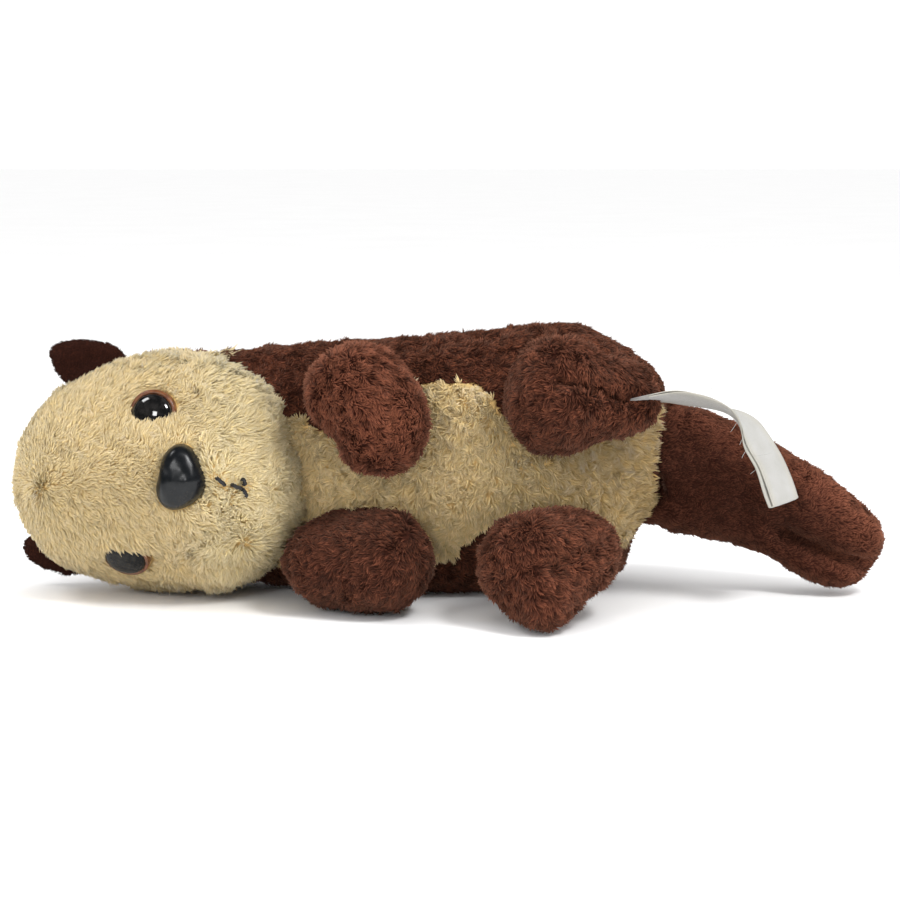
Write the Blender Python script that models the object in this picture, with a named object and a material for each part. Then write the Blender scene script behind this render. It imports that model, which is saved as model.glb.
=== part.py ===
"""Plush sea otter toy, lying on its right side.

Frame: metres, +Z up. X runs along the toy, crown of the head at -X and tip of
the tail at +X. The belly and the face look towards -Y. The floor is z = 0 and
the origin is under the middle of the toy. Every soft piece is the outer shape
of its pile, out to the tips of the fibres.

All sizes below are in millimetres and are scaled once, when a mesh is made.
"""

import bmesh
import bpy
import numpy as np
from mathutils import Matrix, Vector

MM = 0.001
GAP = 0.3               # clear space between two touching pieces
SECTION_POWER = 2.25    # a little fuller than an ellipse, as stuffed cloth is
FAR = 200.0             # beyond every piece
LOBE_REACH = 80.0       # longest search for the skin of a lobed shape
HALVINGS = 40           # steps of that search
FACE_SEARCH = (-60.0, -4.5)    # where the front of the head is looked for, in y
SLOPE_STEP = 0.5

# ---- colours: (red, green, blue), linear ------------------------------------
CREAM = (0.62, 0.47, 0.24)
BROWN = (0.115, 0.048, 0.028)
EAR_BROWN = (0.045, 0.015, 0.010)
BLACK = (0.012, 0.012, 0.013)
TAPE_WHITE = (0.70, 0.68, 0.63)

# ---- trunk: stations from the neck to the rump -------------------------------
# place of the section's middle (x, y, z), then half height and half depth
TRUNK_STATIONS = (
    (-47.0, 2.5, 26.8, 24.4, 12.5),
    (-30.0, 2.5, 26.4, 26.2, 18.5),
    (-10.0, 2.0, 26.4, 27.2, 21.5),
    (10.0, 2.0, 27.1, 28.0, 23.0),
    (24.0, 2.0, 28.6, 28.0, 22.0),
    (32.5, 1.8, 30.0, 25.8, 19.0),
    (37.5, 1.5, 30.6, 20.8, 16.0),
    (41.8, 1.2, 30.5, 16.8, 13.0),
)
TRUNK_CAPS = (0.95, 0.35)    # bulge of the ends, as shares of the half depth there
TRUNK_SECTIONS = 15
TRUNK_AROUND = 28
CAP_RINGS = 4

# cream belly panel: places along the trunk, and its upper and lower edge there as
# shares of the section's half height; it narrows where the feet are sewn on
BELLY_EDGES = (
    (-60.0, 0.66, 0.72),
    (-6.0, 0.69, 0.68),
    (0.0, 0.71, 0.62),
    (5.0, 0.69, 0.45),
    (8.0, 0.57, 0.36),
    (12.0, 0.36, 0.30),
    (24.0, 0.20, 0.25),
    (31.0, 0.30, 0.60),
    (36.0, 0.60, 1.20),
    (42.4, 0.66, 1.20),
)
BELLY_BACK = 0.45       # share of the half depth at which the panel meets the back
BELLY_FRONT = -80.0     # the cutting block reaches this far, clear of the trunk
BELLY_ROWS = 30

# ---- tail: stations from the rump to the tip ----------------------------------
TAIL_STATIONS = (
    (36.0, 2.5, 28.3, 12.2, 9.5),
    (50.0, 0.8, 24.6, 14.2, 9.6),
    (61.0, -2.0, 21.6, 12.8, 9.0),
    (72.0, -4.5, 16.4, 11.6, 8.4),
    (81.0, -7.0, 10.3, 10.6, 8.4),
)
TAIL_CAPS = (0.3, 1.15)
TAIL_SECTIONS = 11
TAIL_AROUND = 20

# ---- head ---------------------------------------------------------------------
# each lobe: middle (x, y, z), half sizes (x, y, z)
HEAD_LOBES = (
    ((-58.8, -5.0, 25.4), (27.0, 22.0, 25.4)),
    ((-48.8, -12.5, 25.9), (18.4, 15.5, 24.0)),
    ((-72.6, -5.5, 24.2), (18.3, 19.0, 21.2)),
    ((-51.5, -18.0, 27.0), (16.0, 12.5, 13.5)),
    ((-55.0, 4.5, 25.2), (25.0, 12.5, 25.9)),
)
HEAD_BLEND = 3.0
HEAD_RINGS = 22
HEAD_AROUND = 28
HEAD_SEAM = 2.0         # depth of the seam between the face and the back of the head

EYE_RADIUS = 4.7
EYE_DOME = 2.6          # height of the plastic dome over its rim
EYE_SINK = 1.6          # how far the rim lies below the tips of the pile
EYE_STEPS = 5
EYE_AROUND = 20
BARREL = 3.0            # depth of the plastic pieces inside the head
EYES = {
    "eye_left": (-59.0, 41.3),
    "eye_right": (-65.0, 9.0),
}

NOSE_MIDDLE = (-53.5, 28.0)
NOSE_WIDTH = 13.4
NOSE_LENGTH = 9.2
# sides of the moulded nose: share of the outline, height
NOSE_SIDES = ((1.0, 0.0), (0.97, 1.4), (0.86, 2.9), (0.62, 4.0), (0.3, 4.5))
NOSE_HEIGHT = 4.6
NOSE_AROUND = 24
NOSE_SINK = 1.8
NOSE_CORNERS = 0.09     # how far its outline is drawn towards a triangle
NOSE_UP = (0.21, 0.0, 1.0)

# ears: middle, half length towards the crown, half breadth, half thickness
EAR_SIZE = (8.4, 6.2, 1.9)
EAR_LEAN = 10.0         # degrees from -X towards +Z
EAR_CUP = 0.9           # how far its edges curl towards the face
EAR_RINGS = 7
EAR_AROUND = 14
EARS = {
    "ear_left": (-75.4, 2.0, 46.2),
    "ear_right": (-82.0, 2.0, 8.2),
}

# ---- arms and feet: lobes as for the head ---------------------------------------
LIMB_LOBES = {
    "arm_left": (
        ((-18.0, -20.0, 44.0), (12.0, 13.0, 10.4)),
        ((-13.4, -28.5, 38.2), (10.0, 10.5, 11.2)),
    ),
    "arm_right": (
        ((-21.0, -23.0, 10.0), (12.6, 13.5, 10.2)),
        ((-12.6, -28.0, 11.1), (10.4, 12.0, 11.0)),
    ),
    "foot_left": (
        ((21.4, -25.0, 43.6), (11.6, 13.0, 12.8)),
        ((30.5, -20.0, 43.0), (12.6, 12.0, 8.8)),
    ),
    "foot_right": (
        ((17.0, -36.0, 12.4), (12.6, 13.0, 10.4)),
        ((24.0, -29.0, 13.2), (10.4, 15.0, 9.2)),
        ((17.4, -43.0, 6.2), (7.4, 9.4, 7.0)),
    ),
}
LIMB_BLEND = 4.0
LIMB_RINGS = 13
LIMB_AROUND = 18

# ---- sewn-in label: middle line and the direction across the tape ----------------
LABEL_LINE = (
    (35.0, -30.0, 42.4),
    (46.0, -26.0, 43.2),
    (57.3, -22.5, 39.4),
    (64.4, -21.5, 31.0),
    (66.9, -23.5, 21.8),
)
LABEL_ACROSS_START = (0.0, -0.97, 0.24)
LABEL_ACROSS_END = (-0.62, -0.75, 0.20)
LABEL_WIDTH = 10.0
LABEL_THICK = 0.9
LABEL_STEPS = 18
LABEL_TWIST_END = 0.72   # share of the tape's length over which it turns


# ---- small helpers -----------------------------------------------------------------

def empty_scene():
    for old in list(bpy.data.objects):
        bpy.data.objects.remove(old, do_unlink=True)


def make_material(name, colour, roughness, metallic=0.0):
    material = bpy.data.materials.new(name)
    material.use_nodes = True
    shader = material.node_tree.nodes["Principled BSDF"]
    shader.inputs["Base Color"].default_value = (*colour, 1.0)
    shader.inputs["Roughness"].default_value = roughness
    shader.inputs["Metallic"].default_value = metallic
    material.diffuse_color = (*colour, 1.0)
    return material


def make_object(name, points, faces, material=None):
    """A mesh object from points in millimetres."""
    mesh = bpy.data.meshes.new(name)
    mesh.from_pydata([tuple(p) for p in np.asarray(points) * MM], [], faces)
    solid = bmesh.new()
    solid.from_mesh(mesh)
    bmesh.ops.recalc_face_normals(solid, faces=solid.faces)
    bmesh.ops.triangulate(solid, faces=solid.faces)
    solid.to_mesh(mesh)
    solid.free()
    if material is not None:
        mesh.materials.append(material)
    made = bpy.data.objects.new(name, mesh)
    bpy.context.scene.collection.objects.link(made)
    return made


def cut(target, cutter, operation="DIFFERENCE"):
    """Apply one exact Boolean to the target and drop the cutter."""
    step = target.modifiers.new("cut", "BOOLEAN")
    step.operation = operation
    step.solver = "EXACT"
    step.object = cutter
    bpy.context.view_layer.update()
    graph = bpy.context.evaluated_depsgraph_get()
    result = bpy.data.meshes.new_from_object(target.evaluated_get(graph))
    target.modifiers.clear()
    target.data = result
    bpy.data.objects.remove(cutter, do_unlink=True)


def weld(target, distance=0.004):
    """Join corners that an exact cut left almost on top of each other."""
    solid = bmesh.new()
    solid.from_mesh(target.data)
    bmesh.ops.remove_doubles(solid, verts=solid.verts, dist=distance * MM)
    bmesh.ops.dissolve_degenerate(solid, edges=solid.edges, dist=distance * MM)
    bmesh.ops.triangulate(solid, faces=solid.faces)
    solid.to_mesh(target.data)
    solid.free()


def grid_faces(rings, around):
    """Faces of a closed skin: first point, rings of points, last point."""
    faces = []
    for j in range(around):
        k = (j + 1) % around
        faces.append((0, 1 + k, 1 + j))
        for i in range(rings - 1):
            a = 1 + i * around
            b = a + around
            faces.append((a + j, a + k, b + k, b + j))
        last = 1 + (rings - 1) * around
        faces.append((last + j, last + k, 1 + rings * around))
    return faces


def ribbon_faces(rows):
    """Faces of a closed bar with four corners in each row."""
    faces = [(0, 1, 2, 3)]
    for i in range(rows - 1):
        a = 4 * i
        for j in range(4):
            k = (j + 1) % 4
            faces.append((a + j, a + k, a + 4 + k, a + 4 + j))
    last = 4 * (rows - 1)
    faces.append((last, last + 1, last + 2, last + 3))
    return faces


# ---- soft shapes made of lobes -----------------------------------------------------

def lobe_distance(points, lobe):
    """Signed distance, near enough, to one ellipsoid."""
    middle, half = (np.array(part, float) for part in lobe)
    local = points - middle
    outer = np.linalg.norm(local / half, axis=-1)
    inner = np.linalg.norm(local / half ** 2, axis=-1)
    return outer * (outer - 1.0) / np.maximum(inner, 1e-9)


def soft_union(first, second, blend):
    mix = np.clip(0.5 + 0.5 * (second - first) / blend, 0.0, 1.0)
    return second + (first - second) * mix - blend * mix * (1.0 - mix)


def lobes_distance(points, lobes, blend):
    total = lobe_distance(points, lobes[0])
    for lobe in lobes[1:]:
        total = soft_union(total, lobe_distance(points, lobe), blend)
    return total


def ball_rays(rings, around):
    """Unit directions over a ball: a pole at -X, rings, and a pole at +X."""
    polar = np.pi * np.arange(1, rings + 1) / (rings + 1)
    turn = 2.0 * np.pi * np.arange(around) / around
    rays = [(-1.0, 0.0, 0.0)]
    for a in polar:
        for b in turn:
            rays.append((-np.cos(a), np.sin(a) * np.cos(b), np.sin(a) * np.sin(b)))
    rays.append((1.0, 0.0, 0.0))
    return np.array(rays)


def wrap_lobes(lobes, blend, rings, around, grow=0.0):
    """Points of a skin round the lobes, on rays from their mean middle."""
    centre = np.mean([lobe[0] for lobe in lobes], axis=0)
    rays = ball_rays(rings, around)
    near = np.zeros(len(rays))
    far = np.full(len(rays), LOBE_REACH)
    for _ in range(HALVINGS):
        middle = 0.5 * (near + far)
        inside = lobes_distance(centre + rays * middle[:, None], lobes, blend) < grow
        near = np.where(inside, middle, near)
        far = np.where(inside, far, middle)
    return centre + rays * near[:, None]


def on_floor(points, grow=0.0):
    """Flatten what would sink below the floor."""
    points[:, 2] = np.maximum(points[:, 2], -grow)
    return points


def surface_point(lobes, blend, x, z):
    """Front of the lobes at (x, z), and the outward direction there."""
    near, far = FACE_SEARCH
    for _ in range(HALVINGS):
        middle = 0.5 * (near + far)
        point = np.array([[x, middle, z]])
        if lobes_distance(point, lobes, blend)[0] < 0.0:
            far = middle
        else:
            near = middle
    point = np.array([x, near, z])
    slope = np.array([
        lobes_distance((point + SLOPE_STEP * axis)[None], lobes, blend)[0]
        - lobes_distance((point - SLOPE_STEP * axis)[None], lobes, blend)[0]
        for axis in np.eye(3)
    ])
    return point, slope / np.linalg.norm(slope)


# ---- soft shapes made of stations ----------------------------------------------------

def smooth_stations(stations, count):
    """Catmull-Rom curve through the stations, read at even steps."""
    table = np.array(stations, float)
    padded = np.vstack([2 * table[0] - table[1], table, 2 * table[-1] - table[-2]])
    spots = np.linspace(0.0, len(table) - 1.0, count)
    rows = []
    for spot in spots:
        i = min(int(spot), len(table) - 2)
        t = spot - i
        p0, p1, p2, p3 = padded[i:i + 4]
        rows.append(0.5 * (2 * p1 + (p2 - p0) * t + (2 * p0 - 5 * p1 + 4 * p2 - p3) * t ** 2
                           + (3 * p1 - p0 - 3 * p2 + p3) * t ** 3))
    return np.array(rows)


def wrap_stations(stations, sections, around, caps, grow=0.0):
    """Points of a tube through the stations, with a cap of its own roundness at each end."""
    rows = smooth_stations(stations, sections)
    middles, halves = rows[:, :3], rows[:, 3:] + grow
    along = np.gradient(middles, axis=0)
    along /= np.linalg.norm(along, axis=1)[:, None]
    turn = 2.0 * np.pi * np.arange(around) / around
    power = 2.0 / SECTION_POWER
    side = np.sign(np.cos(turn)) * np.abs(np.cos(turn)) ** power
    rise = np.sign(np.sin(turn)) * np.abs(np.sin(turn)) ** power

    def ring(middle, tangent, half_height, half_depth):
        up = np.array([-tangent[2], 0.0, tangent[0]])
        up /= np.linalg.norm(up)
        depth = np.cross(tangent, up)
        return middle + np.outer(rise * half_height, up) + np.outer(side * half_depth, depth)

    def cap(i, sign, roundness):
        """Rings from the pole inwards, on a half ellipsoid over the end section."""
        reach = roundness * min(halves[i])
        rings = []
        for step in range(1, CAP_RINGS + 1):
            angle = 0.5 * np.pi * step / (CAP_RINGS + 1)
            middle = middles[i] + sign * along[i] * reach * np.cos(angle)
            rings.append(ring(middle, along[i], *(halves[i] * np.sin(angle))))
        return middles[i] + sign * along[i] * reach, rings

    first, head_rings = cap(0, -1.0, caps[0])
    last, tail_rings = cap(len(rows) - 1, 1.0, caps[1])
    body = [ring(middles[i], along[i], *halves[i]) for i in range(len(rows))]
    loops = head_rings + body + tail_rings[::-1]
    return np.vstack([first[None], *loops, last[None]]), len(loops)


# ---- hard pieces ------------------------------------------------------------------------

def turned(profile, around):
    """Points and faces of a solid turned about Z from (radius, height) pairs, closed on the axis."""
    points = [(0.0, 0.0, profile[0][1])]
    for radius, height in profile:
        for j in range(around):
            angle = 2.0 * np.pi * j / around
            points.append((radius * np.cos(angle), radius * np.sin(angle), height))
    points.append((0.0, 0.0, profile[-1][1]))
    return np.array(points), grid_faces(len(profile), around)


def aim(points, middle, outward, upward=(0.0, 0.0, 1.0)):
    """Move points from their own frame to a place where +Z looks outward."""
    z = np.array(outward, float)
    x = np.cross(upward, z)
    x /= np.linalg.norm(x)
    y = np.cross(z, x)
    return middle + points @ np.array([x, y, z])


def eye_points(place, grow=0.0):
    """Plastic eye: a flat rim with a dome, on a short barrel inside the head."""
    middle, outward = surface_point(HEAD_LOBES, HEAD_BLEND, *place)
    radius = EYE_RADIUS + grow
    profile = [(radius, -BARREL - grow), (radius, 0.0)]
    for step in range(1, EYE_STEPS):
        angle = 0.5 * np.pi * step / EYE_STEPS
        profile.append((radius * np.cos(angle), (EYE_DOME + grow) * np.sin(angle)))
    points, faces = turned(profile, EYE_AROUND)
    top = np.array([0.0, 0.0, EYE_DOME + grow])
    points[-1] = top
    return aim(points, middle - outward * EYE_SINK, outward), faces


def nose_radius(angle, grow=0.0):
    """Rounded triangle, wide towards the crown and pointed towards the mouth."""
    across = 0.5 * NOSE_WIDTH
    half_length = 0.5 * NOSE_LENGTH
    oval = 1.0 / np.hypot(np.cos(angle) / half_length, np.sin(angle) / across)
    return oval * (1.0 + NOSE_CORNERS * np.cos(3.0 * angle)) + grow


def nose_points(grow=0.0):
    """Moulded nose; its own x axis points from the crown to the mouth."""
    middle, outward = surface_point(HEAD_LOBES, HEAD_BLEND, *NOSE_MIDDLE)
    steps = ((1.0, -BARREL - grow), *NOSE_SIDES)
    points = [(0.0, 0.0, -BARREL - grow)]
    for share, height in steps:
        rise = height + grow * (height > 0.0)
        for j in range(NOSE_AROUND):
            angle = 2.0 * np.pi * j / NOSE_AROUND
            reach = nose_radius(angle, grow) * share
            points.append((reach * np.cos(angle), reach * np.sin(angle), rise))
    points.append((0.0, 0.0, NOSE_HEIGHT + grow))
    placed = aim(np.array(points), middle - outward * NOSE_SINK, outward, NOSE_UP)
    return placed, grid_faces(len(steps), NOSE_AROUND)


def ear_points(middle, grow=0.0):
    """Round flat ear, a little cupped towards the face."""
    half = np.array(EAR_SIZE) + grow
    lean = np.radians(EAR_LEAN)
    long_way = np.array([-np.cos(lean), 0.0, np.sin(lean)])
    thick_way = np.array([0.0, -1.0, 0.0])
    wide_way = np.cross(thick_way, long_way)
    local = ball_rays(EAR_RINGS, EAR_AROUND) * half
    local[:, 2] += EAR_CUP * (local[:, 1] / half[1]) ** 2
    placed = middle + local @ np.array([long_way, wide_way, thick_way])
    return placed, grid_faces(EAR_RINGS, EAR_AROUND)


def label_points(grow=0.0):
    """Folded tape: a thin ribbon along its middle line, turning as it falls."""
    line = smooth_stations(LABEL_LINE, LABEL_STEPS)
    along = np.gradient(line, axis=0)
    start = np.array(LABEL_ACROSS_START)
    end = np.array(LABEL_ACROSS_END)
    points = []
    for i in range(LABEL_STEPS):
        share = min(1.0, i / (LABEL_STEPS - 1) / LABEL_TWIST_END)
        turn = share * share * (3.0 - 2.0 * share)
        across = start * (1.0 - turn) + end * turn
        across -= along[i] * across.dot(along[i]) / along[i].dot(along[i])
        across /= np.linalg.norm(across)
        normal = np.cross(along[i], across)
        normal /= np.linalg.norm(normal)
        half = across * (0.5 * LABEL_WIDTH + grow)
        thick = normal * (0.5 * LABEL_THICK + grow)
        points += [line[i] - half - thick, line[i] + half - thick]
        points += [line[i] + half + thick, line[i] - half + thick]
    return np.array(points), ribbon_faces(LABEL_STEPS)


def slab(name, low, high):
    """Plain box used as a cutter."""
    points = []
    for x in (low[0], high[0]):
        for y in (low[1], high[1]):
            points += [(x, y, low[2]), (x, y, high[2])]
    faces = [(0, 1, 3, 2), (4, 6, 7, 5), (0, 4, 5, 1), (2, 3, 7, 6), (0, 2, 6, 4), (1, 5, 7, 3)]
    return make_object(name, points, faces)


# ---- the pieces ----------------------------------------------------------------------------

def head_solid(name, grow=0.0):
    points = on_floor(wrap_lobes(HEAD_LOBES, HEAD_BLEND, HEAD_RINGS, HEAD_AROUND, grow), grow)
    return make_object(name, points, grid_faces(HEAD_RINGS, HEAD_AROUND))


def trunk_solid(name, grow=0.0):
    points, rings = wrap_stations(TRUNK_STATIONS, TRUNK_SECTIONS, TRUNK_AROUND, TRUNK_CAPS, grow)
    return make_object(name, on_floor(points, grow), grid_faces(rings, TRUNK_AROUND))


def belly_cutter(name, grow=0.0):
    """Tapered block that takes in the cream panel along the whole trunk."""
    table = smooth_stations(TRUNK_STATIONS, TRUNK_SECTIONS)
    edges = np.array(BELLY_EDGES)
    points = []
    for x in np.linspace(edges[0, 0], edges[-1, 0] + grow, BELLY_ROWS):
        y, z, half_height, half_depth = (np.interp(x, table[:, 0], table[:, k]) for k in range(1, 5))
        above, below = (np.interp(x, edges[:, 0], edges[:, k]) for k in (1, 2))
        back = y - BELLY_BACK * half_depth + grow
        low = z - below * half_height - grow
        high = z + above * half_height + grow
        points += [(x, BELLY_FRONT, low), (x, back, low), (x, back, high), (x, BELLY_FRONT, high)]
    return make_object(name, points, ribbon_faces(BELLY_ROWS))


def tail_solid(name, grow=0.0):
    points, rings = wrap_stations(TAIL_STATIONS, TAIL_SECTIONS, TAIL_AROUND, TAIL_CAPS, grow)
    return make_object(name, on_floor(points, grow), grid_faces(rings, TAIL_AROUND))


def limb_solid(name, limb, grow=0.0):
    points = on_floor(wrap_lobes(LIMB_LOBES[limb], LIMB_BLEND, LIMB_RINGS, LIMB_AROUND, grow), grow)
    return make_object(name, points, grid_faces(LIMB_RINGS, LIMB_AROUND))


def build():
    empty_scene()
    cream = make_material("cream_pile", CREAM, 0.95)
    brown = make_material("brown_pile", BROWN, 0.95)
    ear_cloth = make_material("ear_cloth", EAR_BROWN, 0.9)
    black = make_material("black_plastic", BLACK, 0.12)
    tape = make_material("label_tape", TAPE_WHITE, 0.8)
    pieces = {}

    for limb in LIMB_LOBES:
        piece = limb_solid(limb, limb)
        cut(piece, trunk_solid("cutter", GAP))
        cut(piece, head_solid("cutter", GAP))
        pieces[limb] = (piece, brown)

    tail = tail_solid("tail")
    cut(tail, trunk_solid("cutter", GAP))
    pieces["tail"] = (tail, brown)

    trunk = trunk_solid("trunk")
    cut(trunk, head_solid("cutter", GAP))
    belly = trunk.copy()
    belly.data = trunk.data.copy()
    belly.name = "belly"
    bpy.context.scene.collection.objects.link(belly)
    cut(belly, belly_cutter("cutter"), "INTERSECT")
    cut(trunk, belly_cutter("cutter", GAP))
    pieces["trunk"] = (trunk, brown)
    pieces["belly"] = (belly, cream)

    face = head_solid("head_face")
    back = head_solid("head_back")
    cut(face, slab("cutter", (-FAR, -FAR, -FAR), (FAR, HEAD_SEAM, FAR)), "INTERSECT")
    cut(back, slab("cutter", (-FAR, HEAD_SEAM + GAP, -FAR), (FAR, FAR, FAR)), "INTERSECT")
    for name, place in EYES.items():
        points, faces = eye_points(place)
        pieces[name] = (make_object(name, points, faces), black)
        points, faces = eye_points(place, GAP)
        cut(face, make_object("cutter", points, faces))
    points, faces = nose_points()
    pieces["nose"] = (make_object("nose", points, faces), black)
    points, faces = nose_points(GAP)
    cut(face, make_object("cutter", points, faces))
    pieces["head_face"] = (face, cream)
    pieces["head_back"] = (back, brown)

    for name, middle in EARS.items():
        points, faces = ear_points(np.array(middle))
        ear = make_object(name, on_floor(points), faces)
        cut(ear, head_solid("cutter", GAP))
        pieces[name] = (ear, ear_cloth)

    points, faces = label_points()
    label = make_object("label", points, faces)
    pieces["label"] = (label, tape)
    cut(label, trunk_solid("cutter", GAP))
    cut(label, limb_solid("cutter", "foot_left", GAP))
    cut(label, tail_solid("cutter", GAP))

    for name, (piece, material) in pieces.items():
        weld(piece)
        piece.data.materials.clear()
        piece.data.materials.append(material)
    centre_on_floor([piece for piece, _ in pieces.values()])


def centre_on_floor(pieces):
    """Shift the meshes so that the origin is under the middle of the whole toy."""
    corners = np.array([vertex.co for piece in pieces for vertex in piece.data.vertices])
    low, high = corners.min(axis=0), corners.max(axis=0)
    shift = Vector((-0.5 * (low[0] + high[0]), -0.5 * (low[1] + high[1]), -low[2]))
    for piece in pieces:
        piece.data.transform(Matrix.Translation(shift))
        piece.data.shade_smooth()


build()
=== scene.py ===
"""Looks of a small plush sea otter toy that lies on its right side.

Each stuffed piece of the frame gets a sewn cloth skin, pulled in by the depth of
its pile, and over the skin the pile itself: thin closed locks of mesh that follow
the lie of the plush. Eyes, nose, mouth thread and label are separate pieces.

Sizes are in millimetres; meshes are scaled to metres as they are made.
"""

from collections import namedtuple
import math

import bmesh
import bpy
import numpy as np
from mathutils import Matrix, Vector
from mathutils.bvhtree import BVHTree
from mathutils.kdtree import KDTree


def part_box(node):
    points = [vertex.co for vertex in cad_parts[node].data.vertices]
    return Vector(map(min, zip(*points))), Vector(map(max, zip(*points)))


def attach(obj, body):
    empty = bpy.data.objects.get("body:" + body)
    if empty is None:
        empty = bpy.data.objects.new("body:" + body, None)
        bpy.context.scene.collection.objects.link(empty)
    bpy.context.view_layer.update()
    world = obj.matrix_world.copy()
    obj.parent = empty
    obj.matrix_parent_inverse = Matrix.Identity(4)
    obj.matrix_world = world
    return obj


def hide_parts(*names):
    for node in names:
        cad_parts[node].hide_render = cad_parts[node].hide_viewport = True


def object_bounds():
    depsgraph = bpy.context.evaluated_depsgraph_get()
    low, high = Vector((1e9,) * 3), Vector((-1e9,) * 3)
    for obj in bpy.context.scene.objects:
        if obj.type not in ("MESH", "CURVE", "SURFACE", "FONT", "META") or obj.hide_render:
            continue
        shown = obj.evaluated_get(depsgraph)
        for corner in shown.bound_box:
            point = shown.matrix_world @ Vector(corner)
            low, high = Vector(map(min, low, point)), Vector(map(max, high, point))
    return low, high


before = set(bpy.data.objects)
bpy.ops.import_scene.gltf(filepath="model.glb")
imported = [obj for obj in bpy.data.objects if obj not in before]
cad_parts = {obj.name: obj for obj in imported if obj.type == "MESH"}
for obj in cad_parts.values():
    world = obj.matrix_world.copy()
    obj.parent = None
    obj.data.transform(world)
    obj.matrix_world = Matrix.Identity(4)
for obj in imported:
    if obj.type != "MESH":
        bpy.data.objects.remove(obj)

MM = 0.001
CAD_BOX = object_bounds()

# ---- camera ----
CAMERA_FOCUS = (0.4995, 0.675, 0.5202)  # shares of the whole toy's box
CAMERA_DISTANCE = 470.0
CAMERA_HEIGHT_ANGLE = 8.0
CAMERA_LENS = 89.5

# ---- cloth skins ----
VOXEL = 0.9  # size of the skin's faces
JOIN_GROW = 0.3  # closes the thin gaps between the frame's solids
TOUCHING = 0.9  # solids nearer than this are sewn together
SEWN_IN = 3.0  # how far a skin runs on into its neighbour
FLOOR_PILE = 0.6  # pile left under the toy's own weight
EAR_GROWN = 1.03  # the ears' cloth spreads this far past its frame solid
ROUNDS = 26  # of smoothing, for a stuffed piece
EAR_ROUNDS = 6  # and for a flat ear
UNEVEN = 0.12  # lumps of the stuffing, as a share of the pile's depth

HARD_NODES = ("eye_left", "eye_right", "nose")
# name: frame nodes of cloth, hard nodes that sit in them, depth of the pile, stuffing
SKINS = {
    "head": (("head_face", "head_back"), HARD_NODES, 1.45, 0.9),
    "trunk": (("trunk", "belly"), (), 1.45, 0.7),
    "tail": (("tail",), (), 1.4, 0.7),
    "arm_left": (("arm_left",), (), 1.4, 0.75),
    "arm_right": (("arm_right",), (), 1.4, 0.75),
    "foot_left": (("foot_left",), (), 1.4, 0.75),
    "foot_right": (("foot_right",), (), 1.4, 0.75),
    "ear_left": (("ear_left",), (), 0.45, 0.2),
    "ear_right": (("ear_right",), (), 0.45, 0.2),
}
CREAM_NODES = ("head_face", "belly")
SEWN_ONTO = ("head", "trunk")  # a skin runs on into these, never they into it
# of the pile's roots from the hard pieces' edges; below zero they stand over them
ROOT_CLEARANCE = {"eye_left": -0.2, "eye_right": -0.1, "nose": -0.3}

# creases on the side that faces -Y: node, corners as (x, z) shares of its box, depth, width
CREASES = (
    ("head_face", ((0.45, 0.17), (0.614, 0.157), (0.8, 0.153)), 1.2, 2.2),
    ("head_face", ((0.6, 0.7), (0.7, 0.76), (0.78, 0.86)), 0.9, 2.4),
    ("arm_left", ((0.715, 0.85), (0.732, 0.42), (0.72, 0.113)), 1.3, 1.5),
    ("arm_right", ((0.7, 0.95), (0.775, 0.806), (0.8, 0.6)), 1.1, 1.5),
    ("foot_left", ((0.332, 0.707), (0.569, 0.629), (0.8, 0.5)), 3.1, 1.7),
    ("foot_right", ((0.5, 0.62), (0.7, 0.69), (0.9, 0.77)), 2.9, 1.7),
    ("tail", ((0.372, 0.443), (0.525, 0.359)), 1.4, 2.2),
    ("tail", ((0.56, 0.31), (0.72, 0.24), (0.93, 0.14)), 4.6, 2.4),
)
# where a skin bulges beyond its frame solid or draws in: node, skin, middle as shares of the node's
# box, reach, amount towards +X, +Y, +Z
PUSHES = (
    ("arm_right", "arm_right", (0.0, 0.3, 0.62), 9.0, (-1.6, 0.0, 0.4)),
    ("belly", "trunk", (1.0, 0.3, 0.42), 9.0, (-1.7, 0.0, 0.0)),
    ("foot_left", "foot_left", (0.95, 0.3, 0.3), 7.0, (1.6, 0.0, -1.6)),
    ("tail", "tail", (0.12, 0.5, 1.0), 12.0, (0.0, 0.0, 1.0)),
    ("eye_left", "head", (0.38, 0.5, -0.08), 4.8, (0.0, -4.2, 1.6)),
    ("eye_right", "head", (0.32, 0.5, 1.04), 4.6, (0.2, -3.9, -1.6)),
    ("trunk", "trunk", (0.83, 0.5, 1.0), 13.0, (0.0, 0.0, 0.7)),
    ("nose", "head", (1.1, 0.5, 0.62), 2.8, (-0.6, -1.7, 0.0)),
    ("head_face", "head", (0.97, 0.35, 0.32), 13.0, (2.3, -0.5, -0.4)),
)
SETTLED = 11.0  # height below which the trunk sags onto the floor
SAG = 1.55
NECK_BROWN = (0.25, 0.86, 0.8)  # shares of the belly's box where it is brown: before, above, slope
REAR_BROWN = (0.72, 0.13)  # and behind and below these

# ---- pile ----
ALL_LOCKS = 385000  # locks on the whole toy, at four triangles each
MOST_LOCKS = 49000  # in one coat piece
PATCH = 0.003  # size of a lock's patch on the map
RING_PLACE = 0.42  # where along a lock its widest section lies

PLANE_WAVES = 7  # in one smooth random field


# ---- small helpers ----

def box(node):
    """Lowest and highest corner of a frame node, in millimetres."""
    low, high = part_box(node)
    return np.array(low) / MM, np.array(high) / MM


def at_share(node, shares):
    """Point at the given shares of a node's box."""
    low, high = box(node)
    return low + (high - low) * np.array(shares)


def in_shares(node, points):
    """The points as shares of a node's box."""
    low, high = box(node)
    return (points - low) / (high - low)


def front_line(node, corners):
    """Places (x, z) in millimetres of corners given as (x, z) shares of a node's box."""
    return np.array([at_share(node, (x, 0.0, z))[[0, 2]] for x, z in corners])


def middle_of(points):
    return 0.5 * (points.min(axis=0) + points.max(axis=0))


def lengths(vectors):
    return np.linalg.norm(vectors, axis=-1, keepdims=True)


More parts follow.
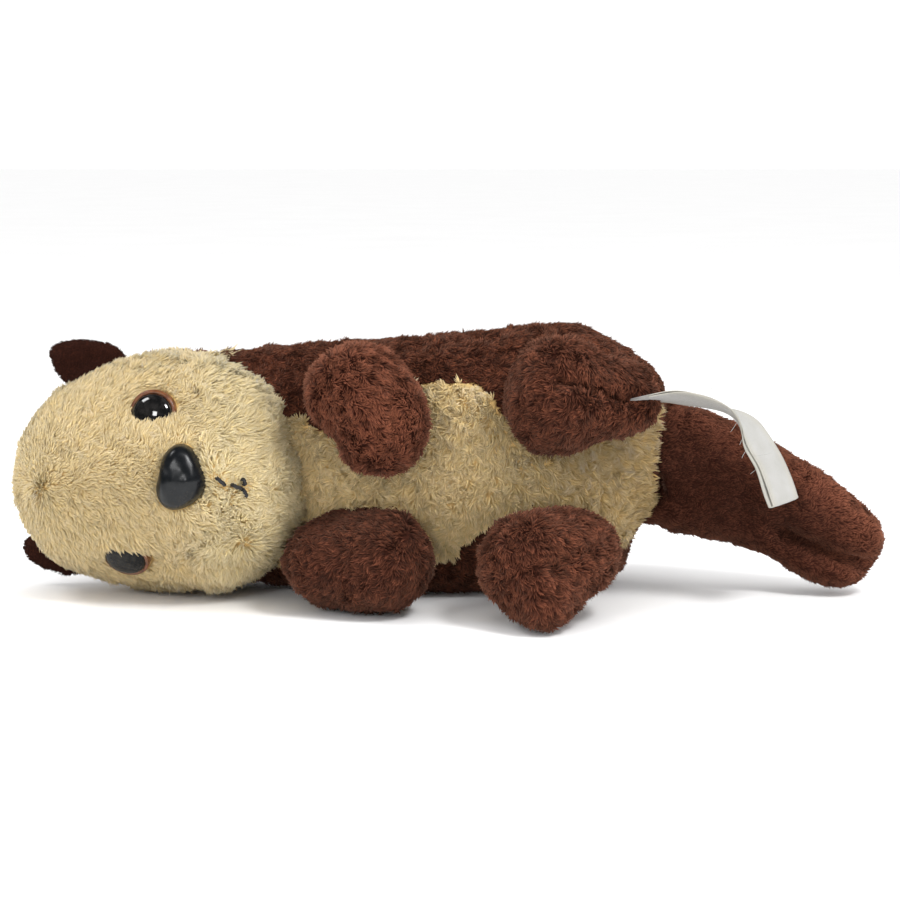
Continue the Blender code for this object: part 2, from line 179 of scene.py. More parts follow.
def unit(vectors):
    return vectors / np.maximum(lengths(vectors), 1e-9)


def flattened(vectors, normals):
    """The part of the vectors that lies along the surface."""
    return vectors - normals * np.sum(vectors * normals, axis=-1, keepdims=True)


def waves(points, wavelength, seed):
    """Smooth random field between about -1 and 1, built from plane waves."""
    rng = np.random.default_rng(seed)
    total = np.zeros(len(points))
    for _ in range(PLANE_WAVES):
        direction = unit(rng.normal(size=3))
        size = wavelength * rng.uniform(0.7, 1.4)
        total += np.sin(points @ direction * (2.0 * np.pi / size) + rng.uniform(0.0, 2.0 * np.pi))
    return total * math.sqrt(2.0 / PLANE_WAVES)


def vector_waves(points, wavelength, seed):
    return np.stack([waves(points, wavelength, seed + k) for k in range(3)], axis=1)


def fading(gap, reach):
    """One at no distance, and next to nothing at twice the reach."""
    return np.exp(-(gap / reach) ** 2)


def ramp_up(values, low, high):
    """Zero below low, one above high, smooth between."""
    share = np.clip((values - low) / (high - low), 0.0, 1.0)
    return share * share * (3.0 - 2.0 * share)


def curve_through(corners, count):
    """Catmull-Rom curve through the corners at even steps."""
    table = np.array(corners, float)
    padded = np.vstack([2 * table[0] - table[1], table, 2 * table[-1] - table[-2]])
    rows = []
    for spot in np.linspace(0.0, len(table) - 1.0, count):
        i = min(int(spot), len(table) - 2)
        t = spot - i
        a, b, c, d = padded[i:i + 4]
        rows.append(0.5 * (2 * b + (c - a) * t + (2 * a - 5 * b + 4 * c - d) * t ** 2
                           + (3 * b - a - 3 * c + d) * t ** 3))
    return np.array(rows)


def angles_round(count):
    """Angles at even steps round a circle."""
    return 2.0 * np.pi * np.arange(count) / count


def placed(name, data):
    """New object in the scene."""
    made = bpy.data.objects.new(name, data)
    bpy.context.scene.collection.objects.link(made)
    return made


def make_mesh(name, points, faces, smooth=True):
    """Mesh object from points in millimetres and faces of equal or mixed size."""
    mesh = bpy.data.meshes.new(name)
    mesh.from_pydata((np.asarray(points) * MM).tolist(), [], [tuple(face) for face in faces])
    if smooth:
        mesh.shade_smooth()
    return placed(name, mesh)


def set_values(mesh, **values):
    """Give each point of a mesh named values that its material reads."""
    for key, row in values.items():
        attribute = mesh.attributes.new(key, "FLOAT", "POINT")
        attribute.data.foreach_set("value", np.asarray(row, np.float32))


def ring_quads(rings, around, start=0):
    """Four-sided faces between rings of points, one ring after another."""
    return [(start + i * around + j, start + i * around + (j + 1) % around,
             start + (i + 1) * around + (j + 1) % around, start + (i + 1) * around + j)
            for i in range(rings - 1) for j in range(around)]


def capped_faces(rings, around):
    """Faces round rings of points that have a single point before them and one after them."""
    last = 1 + rings * around
    faces = ring_quads(rings, around, 1)
    for j in range(around):
        k = (j + 1) % around
        faces += [(0, 1 + k, 1 + j), (last, last - around + j, last - around + k)]
    return faces


def dress(piece, material, slot, *nodes):
    """Give a piece its material and its body, and hide the frame nodes it stands for; the slot is not used.
    """
    piece.data.materials.append(material)
    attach(piece, "root")
    if nodes:
        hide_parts(*nodes)


def closed_piece(name, points, faces, material, slot, *nodes):
    """A dressed piece with all its faces turned outward."""
    piece = make_mesh(name, points, faces)
    solid = bmesh.new()
    solid.from_mesh(piece.data)
    bmesh.ops.recalc_face_normals(solid, faces=solid.faces)
    solid.to_mesh(piece.data)
    solid.free()
    dress(piece, material, slot, *nodes)
    return piece


# ---- materials ----

class Nodes:
    """Short ways to add nodes to one material."""

    def __init__(self, name):
        self.material = bpy.data.materials.new(name)
        self.material.use_nodes = True
        self.tree = self.material.node_tree
        self.shader = self.tree.nodes["Principled BSDF"]

    def add(self, kind, inputs=None, **settings):
        node = self.tree.nodes.new(kind)
        for key, value in settings.items():
            setattr(node, key, value)
        for key, value in (inputs or {}).items():
            node.inputs[key].default_value = value
        return node

    def link(self, output, target):
        self.tree.links.new(output, target)

    def noise(self, scale, detail=2.0, roughness=0.5):
        """Noise in the toy's own space; scale counts features in a metre."""
        node = self.add("ShaderNodeTexNoise", {"Scale": scale, "Detail": detail, "Roughness": roughness})
        self.link(self.add("ShaderNodeTexCoord").outputs["Object"], node.inputs["Vector"])
        return node.outputs["Fac"]

    def attribute(self, name):
        return self.add("ShaderNodeAttribute", attribute_name=name).outputs["Fac"]

    def ramp(self, source, stops):
        """Colour ramp from (place, colour) stops."""
        node = self.add("ShaderNodeValToRGB")
        elements = node.color_ramp.elements
        while len(elements) < len(stops):
            elements.new(0.5)
        for element, (place, colour) in zip(elements, stops):
            element.position = place
            element.color = (*colour, 1.0)
        self.link(source, node.inputs["Fac"])
        return node.outputs["Color"]

    def span(self, source, low, high, out_low, out_high):
        """Values from low to high stretched to the given ends, and held there beyond them."""
        node = self.add("ShaderNodeMapRange", {"From Min": low, "From Max": high,
                                               "To Min": out_low, "To Max": out_high})
        self.link(source, node.inputs["Value"])
        return node.outputs["Result"]

    def mix(self, factor, first, second, blend="MIX"):
        node = self.add("ShaderNodeMix", data_type="RGBA", blend_type=blend)
        sockets = (node.inputs["Factor"], node.inputs[6], node.inputs[7])  # 6 and 7 are the colours A and B
        for socket, value in zip(sockets, (factor, first, second)):
            if isinstance(value, float):
                socket.default_value = value
            elif isinstance(value, tuple):
                socket.default_value = (*value, 1.0)
            else:
                self.link(value, socket)
        return node.outputs[2]

    def times(self, colour, amount):
        """Colour with its brightness multiplied by a value."""
        grey = self.add("ShaderNodeCombineColor")
        for socket in grey.inputs:
            self.link(amount, socket)
        return self.mix(1.0, colour, grey.outputs["Color"], "MULTIPLY")

    def bump(self, height, strength, distance):
        node = self.add("ShaderNodeBump", {"Strength": strength, "Distance": distance * MM})
        self.link(height, node.inputs["Height"])
        self.link(node.outputs["Normal"], self.shader.inputs["Normal"])

    def finish(self, colour, **constants):
        self.link(colour, self.shader.inputs["Base Color"])
        for key, value in constants.items():
            self.shader.inputs[key.replace("_", " ")].default_value = value
        return self.material


def pile_material(name, root, middle, tip, warm, sheen, sheen_tint, through):
    """Plush pile: painted shade between the locks on the brown (darker roots) and painted light against that
    shade on the cream (lighter roots), pale tips, uneven from lock to lock.
    """
    n = Nodes(name)
    colour = n.ramp(n.attribute("along"), ((0.0, root), (0.42, middle), (1.0, tip)))
    # brightness from each lock's shade value: painted light and shade by region, and uneven tone from lock to
    # lock
    colour = n.times(colour, n.span(n.attribute("shade"), 0.0, 1.0, 0.4, 1.6))
    colour = n.times(colour, n.span(n.noise(130.0, 3.0), 0.3, 0.7, 0.93, 1.06))
    colour = n.mix(n.span(n.noise(330.0, 2.0), 0.5, 0.78, 0.0, 0.3), colour, warm)
    tint = n.ramp(n.attribute("pale"), ((0.0, (1.0, 0.9, 0.74)), (0.5, (0.94, 0.94, 0.94)),
                                        (1.0, (0.9, 0.95, 1.0))))
    colour = n.mix(1.0, colour, tint, "MULTIPLY")
    n.bump(n.noise(6500.0, 2.0, 0.6), 0.25, 0.08)
    return n.finish(colour, Roughness=0.95, Sheen_Weight=sheen, Sheen_Roughness=0.5,
                    Sheen_Tint=(*sheen_tint, 1.0), Specular_IOR_Level=0.12, Subsurface_Weight=through,
                    Subsurface_Radius=(1.0, 0.9, 0.7), Subsurface_Scale=0.0008)


def backing_material(name, cream, brown):
    """Woven ground of the plush, with the same markings as the pile over it."""
    n = Nodes(name)
    colour = n.mix(n.attribute("cream"), brown, cream)
    colour = n.times(colour, n.span(n.noise(900.0, 3.0), 0.3, 0.7, 0.8, 1.15))
    n.bump(n.noise(2600.0, 3.0, 0.6), 0.8, 0.4)
    return n.finish(colour, Roughness=0.95, Specular_IOR_Level=0.1)


def speckled_material(name, specks, dark, light, lumps, height, rubbing=None, **constants):
    """Fine specks of colour over shallow lumps; rubbing gives the noise of an uneven shine."""
    n = Nodes(name)
    colour = n.ramp(n.noise(*specks), (dark, light))
    if rubbing:
        noise, ends = rubbing
        n.link(n.span(n.noise(*noise), *ends), n.shader.inputs["Roughness"])
    n.bump(n.noise(*lumps), *height)
    return n.finish(colour, **constants)


def eye_dome_material(name, dust, roughness, shine):
    """Black moulded plastic, polished, with a trace of dust and rubbing."""
    return speckled_material(name, (700.0, 4.0, 0.6), (0.42, (0.006, 0.006, 0.006)), (0.8, dust),
                             (420.0, 2.0), (0.03, 0.05),
                             ((1500.0, 4.0, 0.65), (0.45, 0.8, roughness, 0.08 + roughness)),
                             Specular_IOR_Level=shine)


def tape_material():
    """Blank woven satin tape: fine threads both ways, a little dirt towards its edges."""
    n = Nodes("label_weave")
    weave = n.add("ShaderNodeCombineXYZ")
    n.link(n.attribute("tape_across"), weave.inputs["X"])
    n.link(n.attribute("tape_along"), weave.inputs["Y"])
    heights = []
    for direction, scale in (("X", 26.0), ("Y", 3.6)):
        wave = n.add("ShaderNodeTexWave", {"Scale": scale, "Distortion": 0.6},
                     wave_type="BANDS", bands_direction=direction)
        n.link(weave.outputs["Vector"], wave.inputs["Vector"])
        heights.append(wave.outputs["Fac"])
    cloth = n.mix(0.5, heights[0], heights[1])
    colour = n.ramp(n.noise(260.0, 3.0), ((0.3, (0.345, 0.337, 0.315)), (0.7, (0.395, 0.39, 0.375))))
    colour = n.mix(n.span(n.attribute("tape_edge"), 0.55, 1.0, 0.0, 0.45), colour, (0.38, 0.345, 0.265))
    colour = n.times(colour, n.span(cloth, 0.0, 1.0, 0.93, 1.03))
    n.bump(cloth, 0.35, 0.1)
    return n.finish(colour, Roughness=0.62, Sheen_Weight=0.15, Specular_IOR_Level=0.35)


# root colours are painted: darker than the middle on the brown as painted shade among the locks, lighter and
# warmer than the middle on the cream as painted light over the shade there
CREAM_PILE = pile_material("cream_pile", (0.82, 0.55, 0.22), (0.68, 0.485, 0.22), (0.8, 0.62, 0.33),
                           (0.66, 0.43, 0.165), 0.06, (1.0, 0.93, 0.75), 0.4)
BROWN_PILE = pile_material("brown_pile", (0.042, 0.0125, 0.007), (0.06, 0.018, 0.01),
                           (0.18, 0.06, 0.0315), (0.082, 0.025, 0.012), 0.13, (1.0, 0.55, 0.38), 0.0)
# the ears' cloth: a dark short nap, darkened further as painted shade
EAR_PILE = pile_material("ear_cloth", (0.012, 0.0038, 0.0025), (0.024, 0.0068, 0.0042), (0.042, 0.013, 0.008),
                         (0.026, 0.008, 0.0045), 0.05, (0.8, 0.5, 0.4), 0.0)
BACKING = backing_material("plush_backing", (0.75, 0.5, 0.2), (0.04, 0.012, 0.0068))
EYE_DOMES = {"eye_left": eye_dome_material("eye_dome", (0.026, 0.024, 0.023), 0.06, 0.95),
             "eye_right": eye_dome_material("eye_dome_dusty", (0.03, 0.028, 0.025), 0.2, 0.16)}
# red-brown translucent plastic round the black of the eye, darker in streaks
EYE_RIM = speckled_material("eye_rim", (900.0, 3.0, 0.6), (0.3, (0.075, 0.022, 0.007)),
                            (0.7, (0.19, 0.068, 0.022)), (1900.0, 2.0), (0.15, 0.06), Roughness=0.36,
                            Coat_Weight=0.25, Coat_Roughness=0.15, Subsurface_Weight=0.25,
                            Subsurface_Scale=0.0008)
# black moulded plastic with a soft shine, fine dust and shallow lumps
NOSE_SHELL = speckled_material("nose_shell", (520.0, 5.0, 0.65), (0.4, (0.004, 0.005, 0.006)),
                               (0.8, (0.01, 0.011, 0.013)), (300.0, 3.0, 0.55), (0.06, 0.2),
                               ((800.0, 4.0, 0.6), (0.35, 0.75, 0.27, 0.34)), Specular_IOR_Level=0.24,
                               Coat_Weight=0.16, Coat_Roughness=0.2)
# twisted black embroidery thread
THREAD = speckled_material("mouth_thread", (2400.0, 3.0), (0.3, (0.005, 0.005, 0.006)),
                           (0.7, (0.02, 0.02, 0.022)), (3800.0, 2.0), (0.5, 0.1), Roughness=0.6,
                           Sheen_Weight=0.08, Sheen_Roughness=0.4)
TAPE = tape_material()


# ---- frame nodes and the places of the hard pieces ----

def node_arrays(node):
    """Corners, in millimetres, and triangles of a frame node."""
    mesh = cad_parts[node].data
    points = np.array([corner.co for corner in mesh.vertices]) / MM
    return points, [tuple(face.vertices) for face in mesh.polygons]


def tree_of(points, faces):
    return BVHTree.FromPolygons([Vector(point) for point in points], faces)


NODE_TREES = {node: tree_of(*node_arrays(node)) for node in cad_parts}


def distance_to(tree, points):
    return np.array([tree.find_nearest(Vector(point))[3] for point in points])


FACE_LEVEL = 2.9  # height of the face above the hard pieces' backs
FARTHEST_OVER = 12.0  # the far side of the head lies beyond this
LID_HEIGHT = 4.3  # pile grows on the skin where it lies over a hard piece
EYE_BARREL = 3.0  # depth of the eye inside the head, under its rim
EYE_RADIUS = 4.95
EYE_RISE = 2.45  # of the dome above the barrel
BLACK_RADIUS = 4.38
BLACK_SHIFT = 0.35  # the black sits nearer the nose in its rim
DOME_BACK = 1.2  # heights above the eye's back: of the dome's own back,
RIM_FLOOR = 1.1  # and of the rim's floor under it
EYE_SUNK = 1.1  # the face's pile stands round the eyes
# turned towards the floor by degrees, and moved along X and up
EYE_TURNS = {"eye_left": (22.0, -1.0, 0.35), "eye_right": (0.0, -1.25, -0.6)}
EYE_AROUND = 72
NOSE_HALF = (6.5, 4.8)  # half width and half length
NOSE_TILT = 9.0  # degrees by which its top leans towards the mouth
NOSE_CORNERS = 0.085  # how far its three corners stand out, as a share
NOSE_CORNER_TURN = 15.0
NOSE_DROP = 0.45
NOSE_SUNK = 0.9
# share of the outline, and height
NOSE_RISE = ((1.0, -3.0), (1.0, -1.5), (1.0, 0.0), (0.99, 1.0), (0.955, 1.9), (0.88, 2.8), (0.76, 3.55),
             (0.6, 4.15), (0.4, 4.5), (0.2, 4.68))
NOSE_TOP = 4.74
NOSE_AROUND = 96


def nose_outline(angle):
    """Distance of the nose's edge from its middle: a leaning oval drawn towards three corners."""
    lean = angle - math.radians(90.0 - NOSE_TILT)
    oval = 1.0 / np.hypot(np.cos(lean) / NOSE_HALF[0], np.sin(lean) / NOSE_HALF[1])
    return oval * (1.0 + NOSE_CORNERS * np.cos(3.0 * (angle + math.radians(NOSE_CORNER_TURN))))


def hard_frame(node):
    """Middle of a hard node's flat back, and the direction it looks."""
    points, faces = node_arrays(node)
    corners = points[np.array([face[:3] for face in faces])]
    areas = 0.5 * np.cross(corners[:, 1] - corners[:, 0], corners[:, 2] - corners[:, 0])
    sizes = np.linalg.norm(areas, axis=1)
    ways = areas / sizes[:, None]
    flat = [sizes[ways @ way > 0.999].sum() for way in ways]
    back = ways[int(np.argmax(flat))]
    on_back = points[(points - points[np.argmax(points @ back)]) @ back > -0.02]
    return middle_of(on_back), -back


def axes(outward):
    """Level X, Y and Z of a frame whose Z looks outward."""
    x = unit(np.cross((0.0, 0.0, 1.0), outward))
    return np.array([x, np.cross(outward, x), outward])


def aimed(points, middle, outward):
    """Points of such a frame in the toy's own."""
    return middle + points @ axes(outward)


def in_frame(points, middle, outward):
    """The toy's points in such a frame."""
    return (points - middle) @ axes(outward).T


def seen_frame(node):
    """Middle and direction of an eye or the nose as it is worn: turned, and moved in its place."""
    middle, outward = hard_frame(node)
    if node == "nose":
        return middle - (0.0, 0.0, NOSE_DROP) - NOSE_SUNK * outward, outward
    turn, along, rise = EYE_TURNS[node]
    angle = math.atan2(outward[2], -outward[1]) - math.radians(turn)
    level = math.hypot(outward[1], outward[2])
    outward = np.array([outward[0], -level * math.cos(angle), level * math.sin(angle)])
    return middle + (along, 0.0, rise) - EYE_SUNK * outward, outward


def beyond_edge(points, node):
    """How far points lie outside the edge of an eye or the nose, looking along its direction."""
    local = in_frame(points, *seen_frame(node))
    radius = np.hypot(local[:, 0], local[:, 1])
    if node == "nose":
        return radius - nose_outline(np.arctan2(local[:, 1], local[:, 0]))
    return radius - EYE_RADIUS


def levelled(points, node):
    """The skin's points over a hard node brought down to the level of the face round it."""
    middle, outward = hard_frame(node)
    x, y, height = in_frame(points, middle, outward).T
    reach = 0.5 + (max(NOSE_HALF) + 0.4 if node == "nose" else EYE_RADIUS)
    over = (np.hypot(x, y) < reach) & (height > FACE_LEVEL) & (height < FARTHEST_OVER)
    return points - np.outer(np.where(over, height - FACE_LEVEL, 0.0), outward)


# ---- cloth skins ----

def remeshed(nodes):
    """Points and four-sided faces of one even skin round several nodes."""
    shell = bmesh.new()
    for node in nodes:
        part = bmesh.new()
        part.from_mesh(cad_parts[node].data)
        bmesh.ops.remove_doubles(part, verts=part.verts, dist=0.001 * MM)
        part.normal_update()
        for corner in part.verts:
            corner.co += corner.normal * JOIN_GROW * MM
        grown = bpy.data.meshes.new("grown")
        part.to_mesh(grown)
        part.free()
        shell.from_mesh(grown)
        bpy.data.meshes.remove(grown)
    mesh = bpy.data.meshes.new("shell")
    shell.to_mesh(mesh)
    shell.free()
    holder = placed("shell", mesh)
    step = holder.modifiers.new("even", "REMESH")
    step.mode = "VOXEL"
    step.voxel_size = VOXEL * MM
    step.adaptivity = 0.0
    bpy.context.view_layer.update()
    result = holder.evaluated_get(bpy.context.evaluated_depsgraph_get()).data
    points = np.zeros(len(result.vertices) * 3)
    result.vertices.foreach_get("co", points)
    corners = np.zeros(len(result.loops), int)
    result.loops.foreach_get("vertex_index", corners)
    bpy.data.objects.remove(holder, do_unlink=True)
    return points.reshape(-1, 3) / MM, corners.reshape(-1, 4)


class Skin:
    """One piece of cloth: points, four-sided faces, and what each point is."""

    def __init__(self, points, quads):
        self.points = points
        self.quads = quads
        pairs = np.vstack([quads[:, [0, 1]], quads[:, [1, 2]], quads[:, [2, 3]], quads[:, [3, 0]]])
        self.start, self.end = pairs[:, 0], pairs[:, 1]
        self.degree = np.bincount(self.start, minlength=len(points))[:, None]

    def average(self, values):
        """Mean of each point's neighbours."""
        total = np.stack([np.bincount(self.start, values[self.end, k], len(values))
                          for k in range(values.shape[1])], axis=1)
        return total / self.degree

    def smooth(self, values, rounds):
        for _ in range(rounds):
            values = 0.5 * values + 0.5 * self.average(values)
        return values

    def crossed(self, quads):
        """Directions out of the faces, each as long as twice the face's area."""
        p = self.points[quads]
        return np.cross(p[:, 2] - p[:, 0], p[:, 3] - p[:, 1])

    def normals(self):
        faces = self.crossed(self.quads)
        total = np.zeros_like(self.points)
        for k in range(4):
            for axis in range(3):
                total[:, axis] += np.bincount(self.quads[:, k], faces[:, axis], len(self.points))
        return unit(total)

    def areas(self, chosen):
        return 0.5 * np.linalg.norm(self.crossed(self.quads[chosen]), axis=1)


def line_distance(points, corners):
    """Distance from (x, z) points to a line through the corners."""
    best = np.full(len(points), 1e9)
    for a, b in zip(corners[:-1], corners[1:]):
        share = np.clip((points - a) @ (b - a) / ((b - a) @ (b - a)), 0.0, 1.0)
        best = np.minimum(best, np.linalg.norm(points - a - share[:, None] * (b - a), axis=1))
    return best


# outline of each ear seen from the front, as (x, z) shares of its box
EAR_OUTLINES = {
    "ear_left": ((0.0, 0.76), (0.02, 0.62), (0.07, 0.4), (0.17, 0.18), (0.3, 0.02), (0.6, 0.0),
                 (0.9, 0.3), (1.0, 0.7), (0.85, 0.87), (0.65, 0.96), (0.42, 1.0), (0.15, 0.93),
                 (0.03, 0.82)),
    "ear_right": ((0.0, 0.55), (0.03, 0.42), (0.12, 0.27), (0.25, 0.17), (0.42, 0.1), (0.65, 0.03),
                  (0.85, 0.12), (1.0, 0.45), (0.9, 0.85), (0.6, 1.0), (0.35, 0.97), (0.14, 0.76),
                  (0.03, 0.63)),
}


def outline_reach(cloud, middle, turns):
    """How far a flat cloud reaches from its middle in each direction, seen from the front."""
    flat = (cloud - middle)[:, [0, 2]]
    turn, far = np.arctan2(flat[:, 1], flat[:, 0]), np.hypot(flat[:, 0], flat[:, 1])
    return np.array([far[np.cos(turn - one) > 0.993].max() for one in turns])


def full_ear(points, node, pile):
    """The ear's cloth drawn out to a leaf with a pointed end."""
    corners = np.array(EAR_OUTLINES[node] + EAR_OUTLINES[node][:1])
    corners = np.array([at_share(node, (x, 0.5, z)) for x, z in corners])
    share = np.linspace(0.0, 1.0, 9)[:, None, None]
    cloud = (corners[:-1] * (1.0 - share) + corners[1:] * share).reshape(-1, 3)
    middle = middle_of(cloud)
    turns = np.linspace(-np.pi, np.pi, 73)
    wanted = outline_reach(cloud, middle, turns) * EAR_GROWN - 0.4 * pile
    scale = wanted / outline_reach(points, middle, turns)
    flat = points - middle
    grown = np.interp(np.arctan2(flat[:, 2], flat[:, 0]), turns, scale)
    return np.stack([middle[0] + flat[:, 0] * grown, points[:, 1], middle[2] + flat[:, 2] * grown], axis=1)


def make_skin(name):
    """Cloth round some nodes, sewn on into its neighbours, creased, and pushed in or out."""
    nodes, hard, pile, _ = SKINS[name]
    ear = name.startswith("ear")
    skin = Skin(*remeshed(nodes + hard))
    for node in hard:
        skin.points = levelled(skin.points, node)
    skin.points = skin.smooth(skin.points, EAR_ROUNDS if ear else ROUNDS)
    outer = skin.points
    normals = skin.smooth(skin.normals(), 3)

    own = np.stack([distance_to(NODE_TREES[node], outer) for node in nodes], axis=1)
    cream = np.array([node in CREAM_NODES for node in nodes])
    skin.cream = cream[np.argmin(own, axis=1)].astype(float)
    if name == "trunk":
        x, _, z = in_shares("belly", outer).T
        skin.cream[(x < NECK_BROWN[0]) & (z > NECK_BROWN[1] - NECK_BROWN[2] * x)] = 0.0
        skin.cream[(x > REAR_BROWN[0]) & (z < REAR_BROWN[1])] = 0.0

    touching = np.zeros(len(outer))
    for larger in SEWN_ONTO:
        if larger == name:
            break
        for node in SKINS[larger][0]:
            near = distance_to(NODE_TREES[node], outer) < TOUCHING
            inside = ~outside(NODE_TREES[node], outer + normals * (0.5 * SEWN_IN), -0.4)
            touching = np.maximum(touching, near & inside)
    skin.sewn = skin.smooth(touching[:, None], 2)[:, 0]

    shift = -pile * (1.0 - skin.sewn) + SEWN_IN * skin.sewn
    for node, corners, depth, width in CREASES:
        if node in nodes:
            near = fading(line_distance(outer[:, [0, 2]], front_line(node, corners)), width)
            shift -= depth * near * np.clip(-2.0 * normals[:, 1], 0.0, 1.0)
    shift += (1.0 - skin.sewn) * UNEVEN * pile * waves(outer, 9.0, 5)
    moved = outer + normals * shift[:, None]
    for node, skin_name, shares, reach, amount in PUSHES:
        if skin_name == name:
            gap = np.linalg.norm(outer - at_share(node, shares), axis=1)
            moved += fading(gap, reach)[:, None] * np.array(amount)
    if name == "trunk":
        height = np.clip(moved[:, 2] / SETTLED, 0.0, 1.0)
        moved[:, 2] = np.where(height < 1.0, SETTLED * height ** SAG, moved[:, 2])
    if ear:
        moved = full_ear(moved, name, pile)
    skin.points = skin.smooth(moved, 1 if ear else 3)
    skin.points[:, 2] = np.maximum(skin.points[:, 2], FLOOR_PILE)
    return skin


def show_skin(name, skin):
    nodes, _, _, fill = SKINS[name]
    piece = make_mesh("skin_" + name, skin.points, skin.quads)
    set_values(piece.data, cream=skin.cream)
    slot = "cream_pile" if name == "head" else "ear_cloth" if name.startswith("ear") else "brown_pile"
    dress(piece, BACKING, slot, *nodes)


# ---- pile ----

# How one part of the plush looks: density against the toy's mean; length and width; lean from upright
# at the root, droop more at the tip and curl sideways, in degrees; clump, the share by which tips close
# up; stray and scatter, how uneven the direction is from bundle to bundle and from lock to lock;
# softness, how far the shading follows the skin; uneven, the spread of brightness from lock to lock.
Style = namedtuple("Style", "material slot density length width lean droop curl clump stray scatter"
                            " softness uneven")
CREAM_STYLE = Style(CREAM_PILE, "cream_pile", 1.15, 2.5, 0.37, 60.0, 20.0, 22.0, 0.26, 0.26, 0.12, 0.84, 0.06)
BELLY_STYLE = Style(CREAM_PILE, "cream_pile", 1.4, 2.6, 0.27, 60.0, 21.0, 34.0, 0.44, 0.38, 0.1, 0.7, 0.08)
BROWN_STYLE = Style(BROWN_PILE, "brown_pile", 0.95, 1.85, 0.3, 67.0, 19.0, 32.0, 0.26, 0.32, 0.16, 0.4, 0.22)
TAIL_STYLE = Style(BROWN_PILE, "brown_pile", 0.95, 2.0, 0.3, 66.0, 17.0, 24.0, 0.15, 0.26, 0.16, 0.66, 0.09)
EAR_STYLE = Style(EAR_PILE, "ear_cloth", 1.5, 0.75, 0.17, 62.0, 12.0, 20.0, 0.2, 0.25, 0.12, 0.75, 0.05)


def scatter(skin, chosen, density, rng):
    """Roots and normals of locks spread evenly over the chosen faces."""
    count = np.floor(skin.areas(chosen) * density + rng.random(len(chosen))).astype(int)
    quads = skin.quads[np.repeat(chosen, count)]
    u, v = rng.random(len(quads)), rng.random(len(quads))
    share = np.stack([(1 - u) * (1 - v), u * (1 - v), u * v, (1 - u) * v], axis=1)[:, :, None]
    roots = np.sum(skin.points[quads] * share, axis=1)
    return roots, unit(np.sum(skin.smooth_normals[quads] * share, axis=1))


def outside(tree, points, clearance):
    """Which points lie outside a closed skin by the clearance."""
    result = np.ones(len(points), bool)
    for i, point in enumerate(points):
        place, normal, _, _ = tree.find_nearest(Vector(point), 6.0)
        if place is not None:
            result[i] = (Vector(point) - place).dot(normal) > clearance
    return result


def nearest_clump(roots, rng, share):
    """For each root, the index of the lock whose tip it closes up with."""
    leaders = np.sort(rng.choice(len(roots), max(1, int(len(roots) * share)), replace=False))
    tree = KDTree(len(leaders))
    for place, leader in enumerate(leaders):
        tree.insert(roots[leader], place)
    tree.balance()
    return leaders[np.array([tree.find(root)[1] for root in roots])]


# corners of a lock: its root, the two sides of its bend, its tip
LOCK_FACES = np.array([(0, 1, 2), (3, 2, 1), (0, 2, 3), (0, 3, 1)])
LOCK_ALONG = np.array([0.0, RING_PLACE, RING_PLACE, 1.0])
LOCK_MAP = np.stack([(0.0, -1.0, 1.0, 0.0), 2.0 * LOCK_ALONG - 1.0], axis=1)  # across and along its patch
CLUMP_LEADERS = 0.1  # one lock in ten draws its neighbours' tips to its own
CLUMP_REACH = 1.3
SWIRL_WAVE, STRAY_WAVE, CURL_WAVE, TONE_WAVE = 12.0, 3.4, 2.8, 1.9  # distances over which they change
LEAN_UNEVEN, DROOP_UNEVEN = 8.0, 7.0  # degrees, from lock to lock
LENGTHS, WIDTHS = (0.72, 1.18), (0.7, 1.25)  # least and most, as shares of the style's
SWIRL = 0.22  # slow turning of the lie over the whole toy
LEAST_LAID = 0.3  # how far pile lies down where nothing pulls it
FULL_FLOW = 0.8  # and the pull at which it lies down fully
ROOT_DEPTH = 0.25
FLOOR_GAP = 0.02


def unwrapped(points, middle, half):
    """Place of each point on the skin's own unwrap: an octahedron opened into a square."""
    ray = (points - middle) / half
    ray = ray / np.abs(ray).sum(axis=1, keepdims=True)
    x, y, z = ray.T
    fold_x = (1.0 - np.abs(y)) * np.where(x >= 0.0, 1.0, -1.0)
    fold_y = (1.0 - np.abs(x)) * np.where(y >= 0.0, 1.0, -1.0)
    return np.stack([np.where(z >= 0.0, x, fold_x), np.where(z >= 0.0, y, fold_y)], axis=1)


